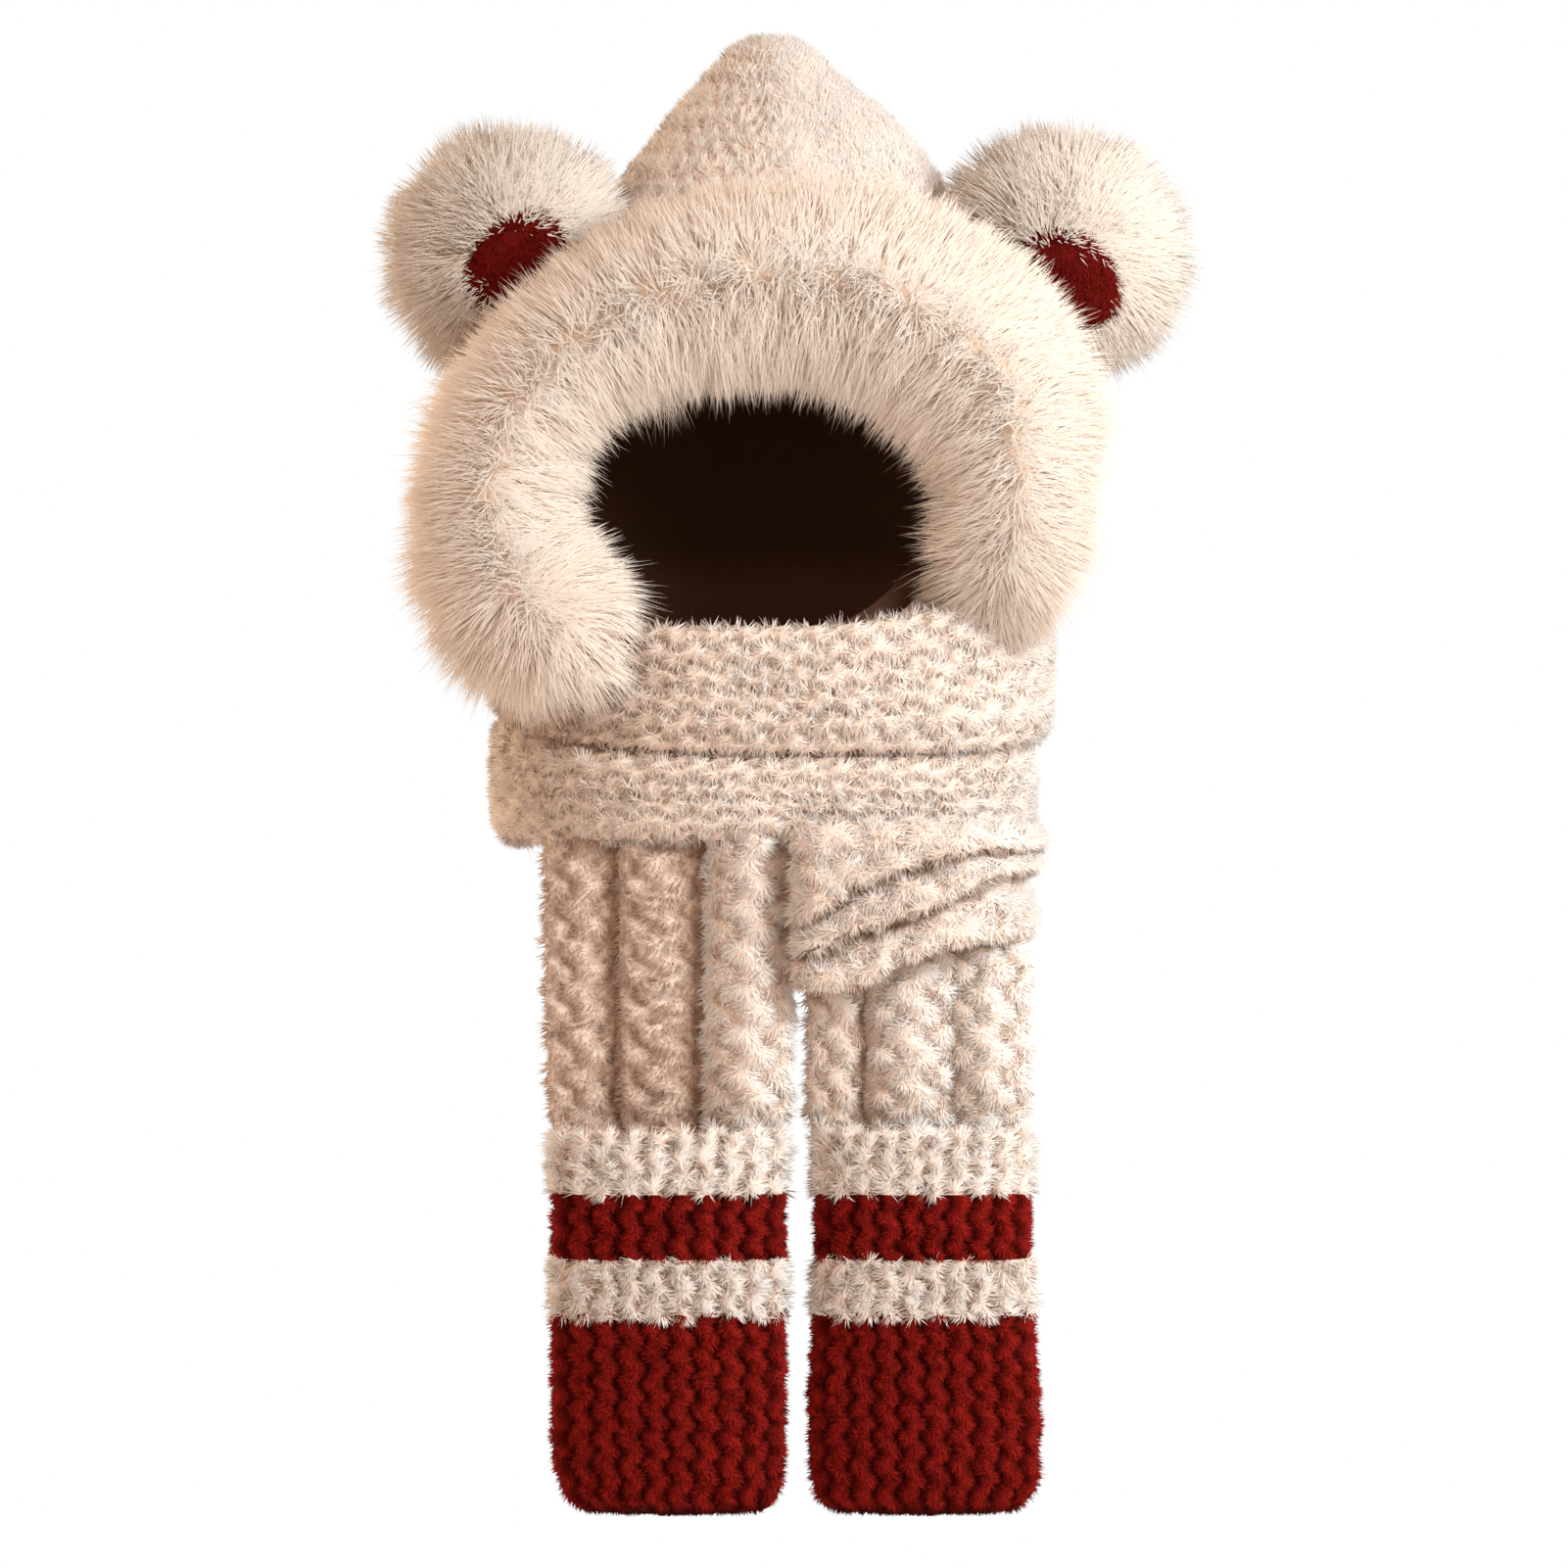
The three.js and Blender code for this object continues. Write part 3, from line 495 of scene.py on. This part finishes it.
# Fur brim: a fat roll of long cream fur sewn round the face opening. It parts along the roll's front, and from
# there combs outwards over the hood and inwards over the opening. Its left end lies in front of the scarf.
brim_rows = {
    "turn": [-36, -28, 0, 30, 60, 90, 115, 135, 155, 180, 205, 220, 230],
    "thick": [0.6, 0.82, 0.82, 1.02, 1.06, 1.0, 0.92, 0.82, 0.84, 0.86, 0.96, 0.84, 0.5],
    "depth": [0.4, 0.66, 0.94, 1.0, 1.0, 1.0, 1.0, 1.0, 1.0, 0.98, 0.88, 0.74, 0.45],
    "outside": [-0.06, -0.06, -0.03, 0.06, 0.05, 0, -0.02, -0.01, 0, 0, -0.04, -0.08, -0.06],
    "forward": [0.8, 0.84, 0.96, 0.98, 1.0, 1.02, 1.0, 0.99, 0.98, 0.98, 1.1, 1.2, 1.24],
}
brim_ends = (-27, 230)
brim_width, brim_height = 0.272, 0.236
brim_thick, brim_depth, brim_forward = 0.12, 0.1, 0.108
brim_fur = 0.027
brim_behind = 0.004


def brim_shape(u, v):
    """u runs over the hood from the right end to the left one, and v round the roll from its parting."""
    turn = brim_ends[0] + u * (brim_ends[1] - brim_ends[0])
    row = rows_at(brim_rows, "turn", turn)
    angle, around = np.radians(turn), -2 * np.pi * v
    outward = unit(stack(np.cos(angle) / brim_width, 0, np.sin(angle) / brim_height))
    close = np.sqrt(np.clip(np.minimum(u + 0.004, 1.004 - u) / 0.045, 0.0004, 1))
    half = np.maximum(row["thick"] * brim_thick / 2 - brim_fur * 0.95, 0.012) * close
    back = np.cos(around) < 0
    deep = row["depth"] * brim_depth / 2 - np.where(back, -brim_behind, brim_fur * 0.85)
    deep = np.maximum(deep, 0.01) * close
    middle = stack(
        face_x + brim_width / 2 * np.cos(angle),
        -brim_forward * row["forward"],
        face_z + brim_height / 2 * np.sin(angle),
    )
    across = np.sin(around) * half + row["outside"] * brim_thick
    return middle + outward * across[:, None] + stack(0, -np.cos(around) * deep, 0)


def brim_comb(root, out, along_u, along_v, u, v, over):
    """Away from the parting, where tufts of both sides cross, and lengthwise at the two ends."""
    parting = np.sin(2 * np.pi * v) + 0.35 * swirl(root, 0.005) + 0.25 * swirl(root, 0.02)
    ends = np.clip((u - 0.86) / 0.12, 0, 1) - 0.5 * np.clip((0.06 - u) / 0.06, 0, 1)
    across = np.tanh(3.5 * parting) * (1 - 0.5 * np.abs(ends))
    return out * 0.7 + along_v * across[:, None] + along_u * (0.3 * swirl(root, 0.02) + ends)[:, None]


def brim_length(u, v):
    """The fur is shortest at the parting and at the left end, and longest over the face opening."""
    inner = np.sin(2 * np.pi * v)
    longer = 0.94 + 0.16 * np.abs(inner) + 0.14 * np.maximum(inner, 0)
    return brim_fur * longer * np.clip(0.8 + (1 - u) * 5, 0, 1)


def brim_parting_light(u, v):
    """Painted light that pales the roots along the front of the parting."""
    return 1 + 0.55 * np.exp(-((np.sin(2 * np.pi * v) / 0.35) ** 2)) * (np.cos(2 * np.pi * v) > 0)


def brim_seen(here, out, u, v):
    """Sows less densely on the roll's back, which lies on the hood."""
    return np.where(out[:, 1] < 0.5, 1.0, 0.4)


cream_fur = soft_paint("cream_fur", srgb(206, 170, 142), srgb(234, 212, 194), srgb(245, 230, 218), 0.12, 0.7)
brim = cloth("brim_skin", brim_shape, 0, plain_skin, (100, 28), cream_fur, ["fur_brim"])
hair(
    "brim_underfur", brim_shape, 0, plain_skin, 57000, brim_length, 0.00075, brim_comb, cream_fur,
    seed=2, bends=2, tuft=0.01, loose=0.12, stray=0.3, weight=brim_seen, droop=0.1, gather=0.12, soft=0.8,
    root_tone=0.34, tip_tone=0.8, shade=brim_parting_light,
)
hair(
    "brim_guard_hair", brim_shape, 0, plain_skin, 20000, lambda u, v: brim_length(u, v) * 1.12, 0.00045,
    brim_comb, cream_fur, seed=3, bends=2, tuft=0.016, loose=0.15, stray=0.5, weight=brim_seen,
    droop=0.12, gather=0.1, soft=0.75, root_tone=0.35, tip_tone=0.95, shade=brim_parting_light,
)

# Ears: two round cushions of the same long fur, sewn to the hood behind the brim.
# An oval of short red plush is sewn inside each, leaning towards the crown, and the fur closes round it.
ear_middles = {"left": -0.132, "right": 0.150}
ear_forward, ear_height = -0.056, -0.020
ear_half, ear_deep = 0.047, 0.024
patch_places = {"left": (-0.129, -0.025, -45), "right": (0.154, -0.033, 45)}
patch_forward, patch_half, patch_tall, patch_deep = -0.086, 0.029, 0.021, 0.006
bare_half, bare_tall = 0.02, 0.015
red_plush = soft_paint("red_plush", srgb(26, 2, 1), srgb(104, 13, 8), srgb(160, 30, 22), 0.25)


def pad_shape(place, half, tall, deep, tilt=0.0):
    """An oval cushion that faces the front. tilt turns it in degrees."""

    def shape(u, v):
        around, rise = 2 * np.pi * u, np.pi * (v - 0.5)
        x = half * np.cos(rise) * np.cos(around)
        z = tall * np.cos(rise) * np.sin(around)
        c, s = np.cos(np.radians(tilt)), np.sin(np.radians(tilt))
        return stack(place[0] + x * c + z * s, place[1] - deep * np.sin(rise), place[2] + z * c - x * s)

    return shape


def ear_comb(root, out, along_u, along_v, u, v, over):
    """Away from the ear's middle, in slow swirls."""
    x = np.where(root[:, 0] < 0, ear_middles["left"], ear_middles["right"])
    outward = unit(stack(root[:, 0] - x, 0, root[:, 2] - ear_height + 1e-4))
    across = stack(-outward[:, 2], 0, outward[:, 0])
    apart = (0.2 + 0.35 * np.cos(np.pi * (v - 0.5)))[:, None]
    return out + outward * apart + across * (0.35 * swirl(root, 0.025))[:, None]


for number, (side, ear_x) in enumerate(ear_middles.items()):
    ear = pad_shape((ear_x, ear_forward, ear_height), ear_half, ear_half, ear_deep)
    patch_x, patch_z, tilt = patch_places[side]
    pad = cloth(f"ear_skin_{side}", ear, 0, plain_skin, (36, 22), cream_fur, [f"ear_{side}"])

    def round_patch(here, out, u, v):
        """Leaves the red patch free of the ear's fur."""
        near = np.hypot((here[:, 0] - patch_x) / bare_half, (here[:, 2] - patch_z) / bare_tall)
        return np.where((near < 1) & (out[:, 1] < 0), 0.0, 1.0)

    hair(
        f"ear_fur_{side}", ear, 0, plain_skin, 17000, 0.027, 0.0007, ear_comb, cream_fur,
        seed=10 + number, bends=2, tuft=0.01, loose=0.14, stray=0.4, weight=round_patch, droop=0.05,
        gather=0.12, soft=0.8, root_tone=0.4, tip_tone=0.95,
    )
    patch = pad_shape((patch_x, patch_forward, patch_z), patch_half, patch_tall, patch_deep, tilt)
    pad = cloth(
        f"ear_patch_cloth_{side}", patch, 0, plain_skin, (30, 16), red_plush, [f"ear_patch_{side}"]
    )
    hair(
        f"ear_patch_pile_{side}", patch, 0, plain_skin, 4500, 0.005, 0.0008, plush_comb(), red_plush,
        seed=20 + number, tuft=0.005,
    )

# Scarf round the neck: one long strip of double knitted plush, wound twice, with its ribs lengthwise. The upper
# turn stands up to the face opening and goes under the brim's left end. The lower turn lies under it.
neck_oval = {"left": 0.118, "right": 0.118, "front": 0.104, "back": 0.0882, "power": 3.0}
upper_top, upper_tall, lower_foot = -0.188, 0.09, -0.322
band_thick = 0.031
upper_rows = {
    "turn": [0, 45, 90, 135, 180, 225, 270, 315, 360],
    "top": [0.03, 0.12, 0.26, 0.24, 0.1, 0.02, 0, 0, 0.03],
    "foot": [0.9, 0.98, 1.0, 0.93, 0.76, 0.78, 0.84, 0.87, 0.9],
    "thick": [1.0, 0.95, 0.86, 0.84, 0.94, 0.94, 0.92, 0.95, 1.0],
}
lower_rows = {
    "turn": [0, 45, 90, 135, 180, 225, 270, 315, 360],
    "thick": [0.68, 0.74, 0.84, 0.88, 0.88, 0.88, 0.84, 0.76, 0.68],
}


def off_oval(turn, shape_of, out, z):
    """A point moved out from an oval, square to it. turn is a share of a whole turn."""
    x, y = oval(turn, **shape_of)
    ahead, behind = oval(turn + 5e-4, **shape_of), oval(turn - 5e-4, **shape_of)
    way = unit(np.stack([ahead[0] - behind[0], ahead[1] - behind[1]], axis=-1))
    return stack(x - way[..., 1] * out, y + way[..., 0] * out, z)


def band_section(share, half_thick=0.0125, half_tall=0.035):
    """The band's rounded oblong section: how far out and up each point lies."""
    c, h = np.cos(2 * np.pi * share), np.sin(2 * np.pi * share)
    out, up = np.sign(c) * np.abs(c) ** 0.6, np.sign(h) * np.abs(h) ** 0.6
    return np.stack([half_thick * out, half_tall * up], axis=-1)


round_section = even(band_section)
round_neck = even(lambda share: np.stack(oval(share, **neck_oval), axis=-1))


def band_shape(which, inset):
    """u runs round the neck, and v round the section from its outside."""

    def shape(u, v):
        around = round_neck(1 - u)
        turn = (360 * around) % 360
        row = rows_at(upper_rows, "turn", turn)
        top, foot = upper_top - upper_tall * row["top"], upper_top - upper_tall * row["foot"]
        thick = row["thick"] * band_thick
        if which == "lower":
            top, foot = foot, lower_foot + 0 * foot
            thick = rows_at(lower_rows, "turn", turn)["thick"] * band_thick
        point = band_section(round_section(v), thick / 2 - inset, (top - foot) / 2 - inset * 0.6)
        return off_oval(around, neck_oval, thick / 2 + point[..., 0], (top + foot) / 2 + point[..., 1])

    return shape


def band_weight(here, out, u, v):
    """Sows nothing on the inside of the strip, and less behind."""
    hidden = np.abs(v - 0.5) < 0.18
    return np.where(hidden, 0, np.where(out[:, 1] < 0.3, 1.0, 0.4))


def band_shade_of(painted_left_shade):
    """Painted shade that darkens the plush towards the left, away from the light."""
    return lambda u, v: 1 - painted_left_shade * np.clip(-1.5 * np.cos(2 * np.pi * round_neck(1 - u)), 0, 1)


band_rib, band_zigzags = 0.0048, 40
# The last number of each turn is how much painted shade darkens its left end.
for number, (which, ribs, hairs, painted_left_shade) in enumerate([("upper", 12, 64000, 0.75), ("lower", 10, 54000, 0.35)]):
    band = band_shape(which, 0.0078)

    def band_knit(u, v):
        """Ribs along the strip."""
        return braid(v * ribs, u * band_zigzags + 0.5 * np.sin(4 * np.pi * v))

    pad = cloth(
        f"neck_band_cloth_{which}", band, band_rib, band_knit, (200, 60), cream_plush,
        [f"neck_band_{which}"],
    )
    hair(
        f"neck_band_pile_{which}", band, band_rib, band_knit, hairs, 0.0066, 0.0009, plush_comb(0.6),
        cream_plush, seed=30 + number, weight=band_weight, tuft=0.0065, loose=0.18, stray=0.22,
        gather=0.15, root_tone=0.24, tip_tone=0.5, shorn=0.5, shade=band_shade_of(painted_left_shade),
    )

# Neck fold: the strip's last turn, which hangs over the top of the right end in three overlapping layers.
# It is the same knitted plush, and it comes out from under the lower turn.
fold_oval = {"left": 0.118, "right": 0.117, "front": 0.124, "back": 0.0882, "power": 5.0}
fold_top, fold_longest, fold_tucked = -0.3143, 0.074, 0.008
fold_step, fold_swell, fold_wall = 0.003, 0.011, 0.012
fold_rows = {
    "turn": [-26, -13, 0, 23.1, 41.2, 56.9, 69.2, 78.3, 84.3, 87.9, 89.75],
    "drop": [0.14, 0.4, 0.58, 0.66, 0.67, 0.69, 0.76, 0.86, 0.98, 1.0, 0.99],
    "second": [0.2, 0.2, 0.2, 0.2, 0.2, 0.22, 0.28, 0.32, 0.38, 0.51, 0.63],
    "third": [0.4, 0.4, 0.4, 0.4, 0.42, 0.56, 0.66, 0.68, 0.66, 0.73, 0.81],
}


def fold_turn(share):
    """The turn round the neck at a share of the fold's length."""
    return (fold_rows["turn"][0] + (fold_rows["turn"][-1] - fold_rows["turn"][0]) * share) / 360


along_fold = even(lambda share: off_oval(fold_turn(share), fold_oval, 0.018, 0))


def fold_down(u, v):
    """The turn round the neck, and how far down a point lies: v runs down the front and up the back."""
    return 360 * fold_turn(along_fold(np.clip(u, 0, 0.99999))), 1 - np.abs(2 * v - 1)


def fold_layer(u, v):
    """How far down its own layer a point lies."""
    turn, down = fold_down(u, v)
    row = rows_at(fold_rows, "turn", turn)
    in_second, in_third = down > row["second"], down > row["third"]
    start = np.where(in_third, row["third"], np.where(in_second, row["second"], 0))
    stop = np.where(in_third, 1.06, np.where(in_second, row["third"], row["second"]))
    return np.clip((down - start) / (stop - start), 0, 1), in_second, in_third


def fold_shape(inset):
    """Each layer swells towards its lip and steps back from the one above. The fold is closed at both ends."""

    def shape(u, v):
        turn, down = fold_down(u, v)
        row = rows_at(fold_rows, "turn", turn)
        layer, in_second, in_third = fold_layer(u, v)
        swell = fold_swell * layer**0.8 * np.clip((1 - layer) / 0.12, 0, 1) ** 0.5
        step = np.where(in_third, 0, np.where(in_second, fold_step, 2 * fold_step))
        front = fold_wall + step + swell - inset
        share = np.clip((v - 0.5) / 0.04, 0, 1)
        close = np.sqrt(np.clip(np.minimum(u, 1 - u) / 0.035, 0, 1))
        middle = fold_wall / 2
        out = middle + (front * (1 - share) + (inset * 0.5) * share - middle) * close
        drop = row["drop"] * fold_longest + fold_tucked
        return off_oval(turn / 360, fold_oval, out, fold_top - down * drop)

    return shape


def fold_shows(u, v):
    """Two shares that rise to 1 where a layer lies open: from under the one above, and from its own lip."""
    layer, in_second, in_third = fold_layer(u, v)
    under = np.where(in_second, np.clip(layer / 0.3, 0, 1), 1)
    edge = np.where(in_third, 1, np.clip((1 - layer) / 0.1, 0, 1))
    return under, edge


def fold_knit(u, v):
    height, lean = braid((1 - np.abs(2 * v - 1)) * 5, u * 12 + v * 3)
    under, edge = fold_shows(u, v)
    return height * under * edge * np.clip((0.5 - v) * 40, 0, 1), lean


def fold_shade(u, v):
    """Brown shadow where a layer comes out from under the one above, and on its lip."""
    under, edge = fold_shows(u, v)
    return 0.1 + 0.9 * under * edge


fold_outside, fold_rib = fold_shape(0.005), 0.0026
fold_cloth = cloth(
    "neck_fold_cloth", fold_outside, fold_rib, fold_knit, (64, 80), cream_plush, ["neck_fold"]
)
fold_pile = hair(
    "neck_fold_pile", fold_outside, fold_rib, fold_knit, 31000, 0.0075, 0.0009, plush_comb(0.5, 0.5),
    cream_plush, seed=40, span=((0, 0), (1, 0.54)), tuft=0.0065, loose=0.25, gather=0.15,
    root_tone=0.3, tip_tone=0.7, shorn=0.3, shade=fold_shade,
)

# Scarf ends: the two ends of the strip, pressed into three lengthwise folds and sewn into the mittens. The ribs
# run down them, and the folds fade where the mittens hold them flat.
end_rows = {
    "left": {
        "down": [0, 0.14, 0.36, 0.6, 0.79, 0.84, 1.0],
        "width": [1.0, 1.0, 0.99, 0.965, 0.95, 0.9, 0.815],
        "open": [0.86, 1.0, 1.0, 0.98, 0.86, 0.6, 0.1],
        "curve": [1, 0.9, 0.6, 0.3, 0.1, 0, 0],
    },
    "right": {
        "down": [0, 0.28, 0.305, 0.44, 0.6, 0.79, 0.84, 1.0],
        "width": [0.5, 0.6, 1.0, 1.0, 0.985, 0.98, 0.93, 0.79],
        "open": [0.2, 0.2, 0.3, 0.75, 0.95, 0.86, 0.6, 0.1],
        "curve": [1, 0.8, 0.7, 0.6, 0.3, 0.1, 0, 0],
    },
}
end_sizes = {"left": (0.131, -0.051), "right": (0.116, 0.076)}
end_top, end_long = -0.3225, 0.1785
end_back, end_wrap, end_into_mitten = -0.095, 0.014, 0.014
end_wall, end_fold_depth = 0.012, 0.030
end_fronts = 0.62  # the share of v that the front of the folds takes, and the back has the rest
# The folds from left to right: where each starts and stops across the end, how high its crest is, how much it
# falls to the right, how far dark shadow reaches in from its two valleys, and its tone, painted shade below 1
# and painted light above 1.
end_folds = {
    "left": {
        "start": [0, 0.3, 0.67],
        "stop": [0.3, 0.67, 1],
        "crest": [0.7, 0.98, 1.15],
        "falls": [0.5, 0.75, 0],
        "left_shadow": [0.1, 0.16, 0.06],
        "right_shadow": [0.5, 0.6, 0.1],
        "tone": [0.32, 0.26, 1.5],
    },
    "right": {
        "start": [0, 0.27, 0.66],
        "stop": [0.27, 0.66, 1],
        "crest": [0.7, 1.02, 0.95],
        "falls": [0.3, 0.1, 0],
        "left_shadow": [0.1, 0.25, 0.25],
        "right_shadow": [0.45, 0.14, 0.05],
        "tone": [0.9, 1.3, 1.4],
    },
}
ribs_on_fold, end_zigzags = 3, 9


def fold_at(side, v):
    """Whether v is on the front, its place counted in folds from the left, and its fold's number and sizes."""
    front = v < end_fronts
    place = np.where(front, v / end_fronts, 1 - (v - end_fronts) / (1 - end_fronts)) * 3
    k = np.clip(np.floor(place).astype(int), 0, 2)
    return front, place, k, {name: np.array(column, float)[k] for name, column in end_folds[side].items()}


def out_of_valley(place, k, fold):
    """From 0 in the valley on either side of a fold to 1 past its shadow."""
    return np.clip(np.minimum((place - k) / fold["left_shadow"], (1 + k - place) / fold["right_shadow"]), 0, 1)


def end_shape(side, inset):
    """u runs down the end, and v over the folds from left to right and back behind them."""
    width, middle = end_sizes[side]
    reach = abs(middle) + width / 2

    def shape(u, v):
        u = 1.08 * u - 0.08
        row = rows_at(end_rows[side], "down", np.clip(u, 0, 1))
        front, place, k, fold = fold_at(side, v)
        across = (1 - np.cos(np.pi * (place - k))) / 2
        wide = row["width"] * width - inset
        x = middle + (fold["start"] + (fold["stop"] - fold["start"]) * across - 0.5) * wide
        off = 2 * across - 1
        rise = (end_fold_depth * fold["crest"] - end_wall) * row["open"] * (1 - fold["falls"] * (off + 1) / 2)
        outer = end_wall + rise * np.sqrt(np.clip(1 - off**2, 0, 1)) - inset
        inside = off / (1 - 2 * end_wall / ((fold["stop"] - fold["start"]) * wide))
        inner = rise * np.sqrt(np.clip(1 - inside**2, 0, 1)) + inset * 0.4
        into = np.clip((u - 0.8) / 0.06, 0, 1)
        y = end_back + end_wrap * row["curve"] * (x / reach) ** 2 - np.where(front, outer, inner)
        y -= end_into_mitten * into * into * (3 - 2 * into)
        return stack(x, y, end_top - u * end_long)

    return shape


def end_knit_of(side):
    """Ribs on each fold, which sink towards the valleys between the folds."""

    def knit(u, v):
        front, place, k, fold = fold_at(side, v)
        height, lean = braid(place * ribs_on_fold, u * end_zigzags)
        return height * np.where(front, out_of_valley(place, k, fold), 0.6), np.where(front, lean, -lean)

    return knit


def end_shade_of(side):
    """Painted shade and light on each fold: the left ones, which lie deeper, are painted darker, and painted
    brown shadow lies in the valleys.
    """

    def shade(u, v):
        front, place, k, fold = fold_at(side, v)
        return np.where(front, fold["tone"] * (0.35 + 0.65 * out_of_valley(place, k, fold)), 0.9)

    return shade


def end_weight(here, out, u, v):
    return np.where(v < end_fronts, 1, 0.5)


end_rib = 0.0042
for number, side in enumerate(["left", "right"]):
    end, end_knit = end_shape(side, 0.0062), end_knit_of(side)
    end_cloth = cloth(
        f"scarf_end_cloth_{side}", end, end_rib, end_knit, (64, 84), cream_plush,
        [f"scarf_end_{side}"],
    )
    end_pile = hair(
        f"scarf_end_pile_{side}", end, end_rib, end_knit, 43000, 0.0066, 0.0009, plush_comb(0.5, 0.4),
        cream_plush, seed=50 + number, weight=end_weight, tuft=0.006, loose=0.18, stray=0.22,
        gather=0.15, root_tone=0.2, tip_tone=0.45, shade=end_shade_of(side), shorn=0.5,
    )

# Mittens: a flat pocket sewn on each scarf end, knitted in one with bands of cream, red, cream and red. The
# cream lip is open above for the hand, the red hand is closed below, and the ribs run down it.
mitten_rows = {
    "left": {
        "down": [-0.2, 0, 0.38, 0.72, 0.86, 0.94, 0.985, 1.0],
        "left": [0.5, 0.5, 0.5, 0.5, 0.485, 0.44, 0.35, 0.22],
        "right": [0.5, 0.5, 0.5, 0.5, 0.495, 0.47, 0.41, 0.3],
        "depth": [0.98, 0.98, 0.9, 0.82, 0.74, 0.6, 0.38, 0.16],
    },
    "right": {
        "down": [-0.2, 0, 0.38, 0.72, 0.86, 0.94, 0.985, 1.0],
        "left": [0.465, 0.465, 0.475, 0.495, 0.49, 0.46, 0.38, 0.26],
        "right": [0.455, 0.455, 0.47, 0.495, 0.495, 0.46, 0.36, 0.22],
        "depth": [0.98, 0.98, 0.9, 0.82, 0.74, 0.6, 0.38, 0.16],
    },
}
mitten_middles = {"left": -0.051, "right": 0.079}
mitten_tall, mitten_top = 0.169, -0.5013
mitten_width, mitten_depth, mitten_forward, mitten_square = 0.125, 0.06, -0.122, 2.2
mitten_ribs, mitten_zigzag = 20, 0.0145
# Each band's name, start and stop down the pocket, plush, length of pile and tone of its tips.
mitten_bands = [
    ("cuff", -0.030, 0.0, "cream_plush", 0.0085, 0.6),
    ("red_stripe", 0.0, 0.033, "red_plush", 0.0045, 0.1),
    ("cream_stripe", 0.033, 0.062, "cream_plush", 0.0075, 0.3),
    ("mitten_hand", 0.062, 0.169, "red_plush", 0.0045, 0.1),
]
plush_paints = {"cream_plush": cream_plush, "red_plush": red_plush}
round_mitten = even(lambda share: np.stack(oval(share, 0.055, 0.055, 0.02, 0.02, mitten_square), axis=-1))


def mitten_shape(side, start, stop, inset):
    """u runs round the pocket, and v down the band. The hand is closed below."""
    middle = mitten_middles[side]
    closed = stop == mitten_tall

    def shape(u, v):
        down = start + (stop - start) * v
        share = down / mitten_tall
        row = rows_at(mitten_rows[side], "down", np.clip(share, -0.2, 1))
        close = np.sqrt(np.clip((1.0 - share) / 0.02, 0, 1)) if closed else 1
        half = (row["depth"] * mitten_depth / 2 - inset) * close
        x, y = oval(
            round_mitten(u),
            (row["left"] * mitten_width - inset) * close,
            (row["right"] * mitten_width - inset) * close,
            half,
            half,
            mitten_square,
        )
        return stack(middle + x, mitten_forward + y, mitten_top - down + (inset * 0.7 * share if closed else 0))

    return shape


mitten_rib = 0.005
for number, side in enumerate(["left", "right"]):
    for band, (name, start, stop, slot, fluff, tip_tone) in enumerate(mitten_bands):
        hand = name == "mitten_hand"

        def mitten_knit(u, v):
            """The ribs run on from band to band, and sink at the closed end of the hand."""
            height, lean = braid(u * mitten_ribs, (start + (stop - start) * v) / mitten_zigzag, 0.04, 0.17)
            return height * (np.clip((1 - v) / 0.08, 0, 1) if hand else 1), lean

        def groove_shade(u, v):
            """Darkens the grooves between the ribs."""
            return 0.25 + 1.0 * mitten_knit(u, v)[0] ** 2

        base, paint = mitten_shape(side, start, stop, 0.0078), plush_paints[slot]
        pocket = cloth(
            f"{name}_cloth_{side}", base, mitten_rib, mitten_knit, (120, 56 if hand else 16), paint,
            [f"{name}_{side}"],
        )
        pile = hair(
            f"{name}_pile_{side}", base, mitten_rib, mitten_knit, 36000 if hand else 11500, fluff, 0.0009,
            plush_comb(0.25, -0.25 if name == "cuff" else 0.3, "u"), paint, seed=60 + 10 * number + band,
            weight=front_more(0.35), tuft=0.005, loose=0.18 if hand else 0.3, stray=0.25, gather=0.15,
            root_tone=0.1, tip_tone=tip_tone, shade=groove_shade, shorn=0.6 if slot == "red_plush" else 0.3,
        )

# Floor: a plain pale disc well below the mittens, because the set is held up by the head mount and stands on
# nothing. It only gives the cool light that comes from below.
floor_radius, floor_height = 1.5, -1.25
floor_mesh = bpy.data.meshes.new("floor")
disc = bmesh.new()
bmesh.ops.create_circle(disc, cap_ends=True, segments=96, radius=floor_radius)
bmesh.ops.translate(disc, verts=disc.verts, vec=(0, 0, floor_height))
disc.to_mesh(floor_mesh)
disc.free()
floor_paint = Paint("pale_floor", 0.8)
floor_colour = floor_paint.mix(floor_paint.noise(3.0), srgb(228, 232, 236), srgb(234, 238, 242))
floor_paint.feed(floor_paint.shader.inputs["Base Color"], floor_colour)
floor_mesh.materials.append(floor_paint.material)
floor = bpy.data.objects.new("floor", floor_mesh)
bpy.context.collection.objects.link(floor)
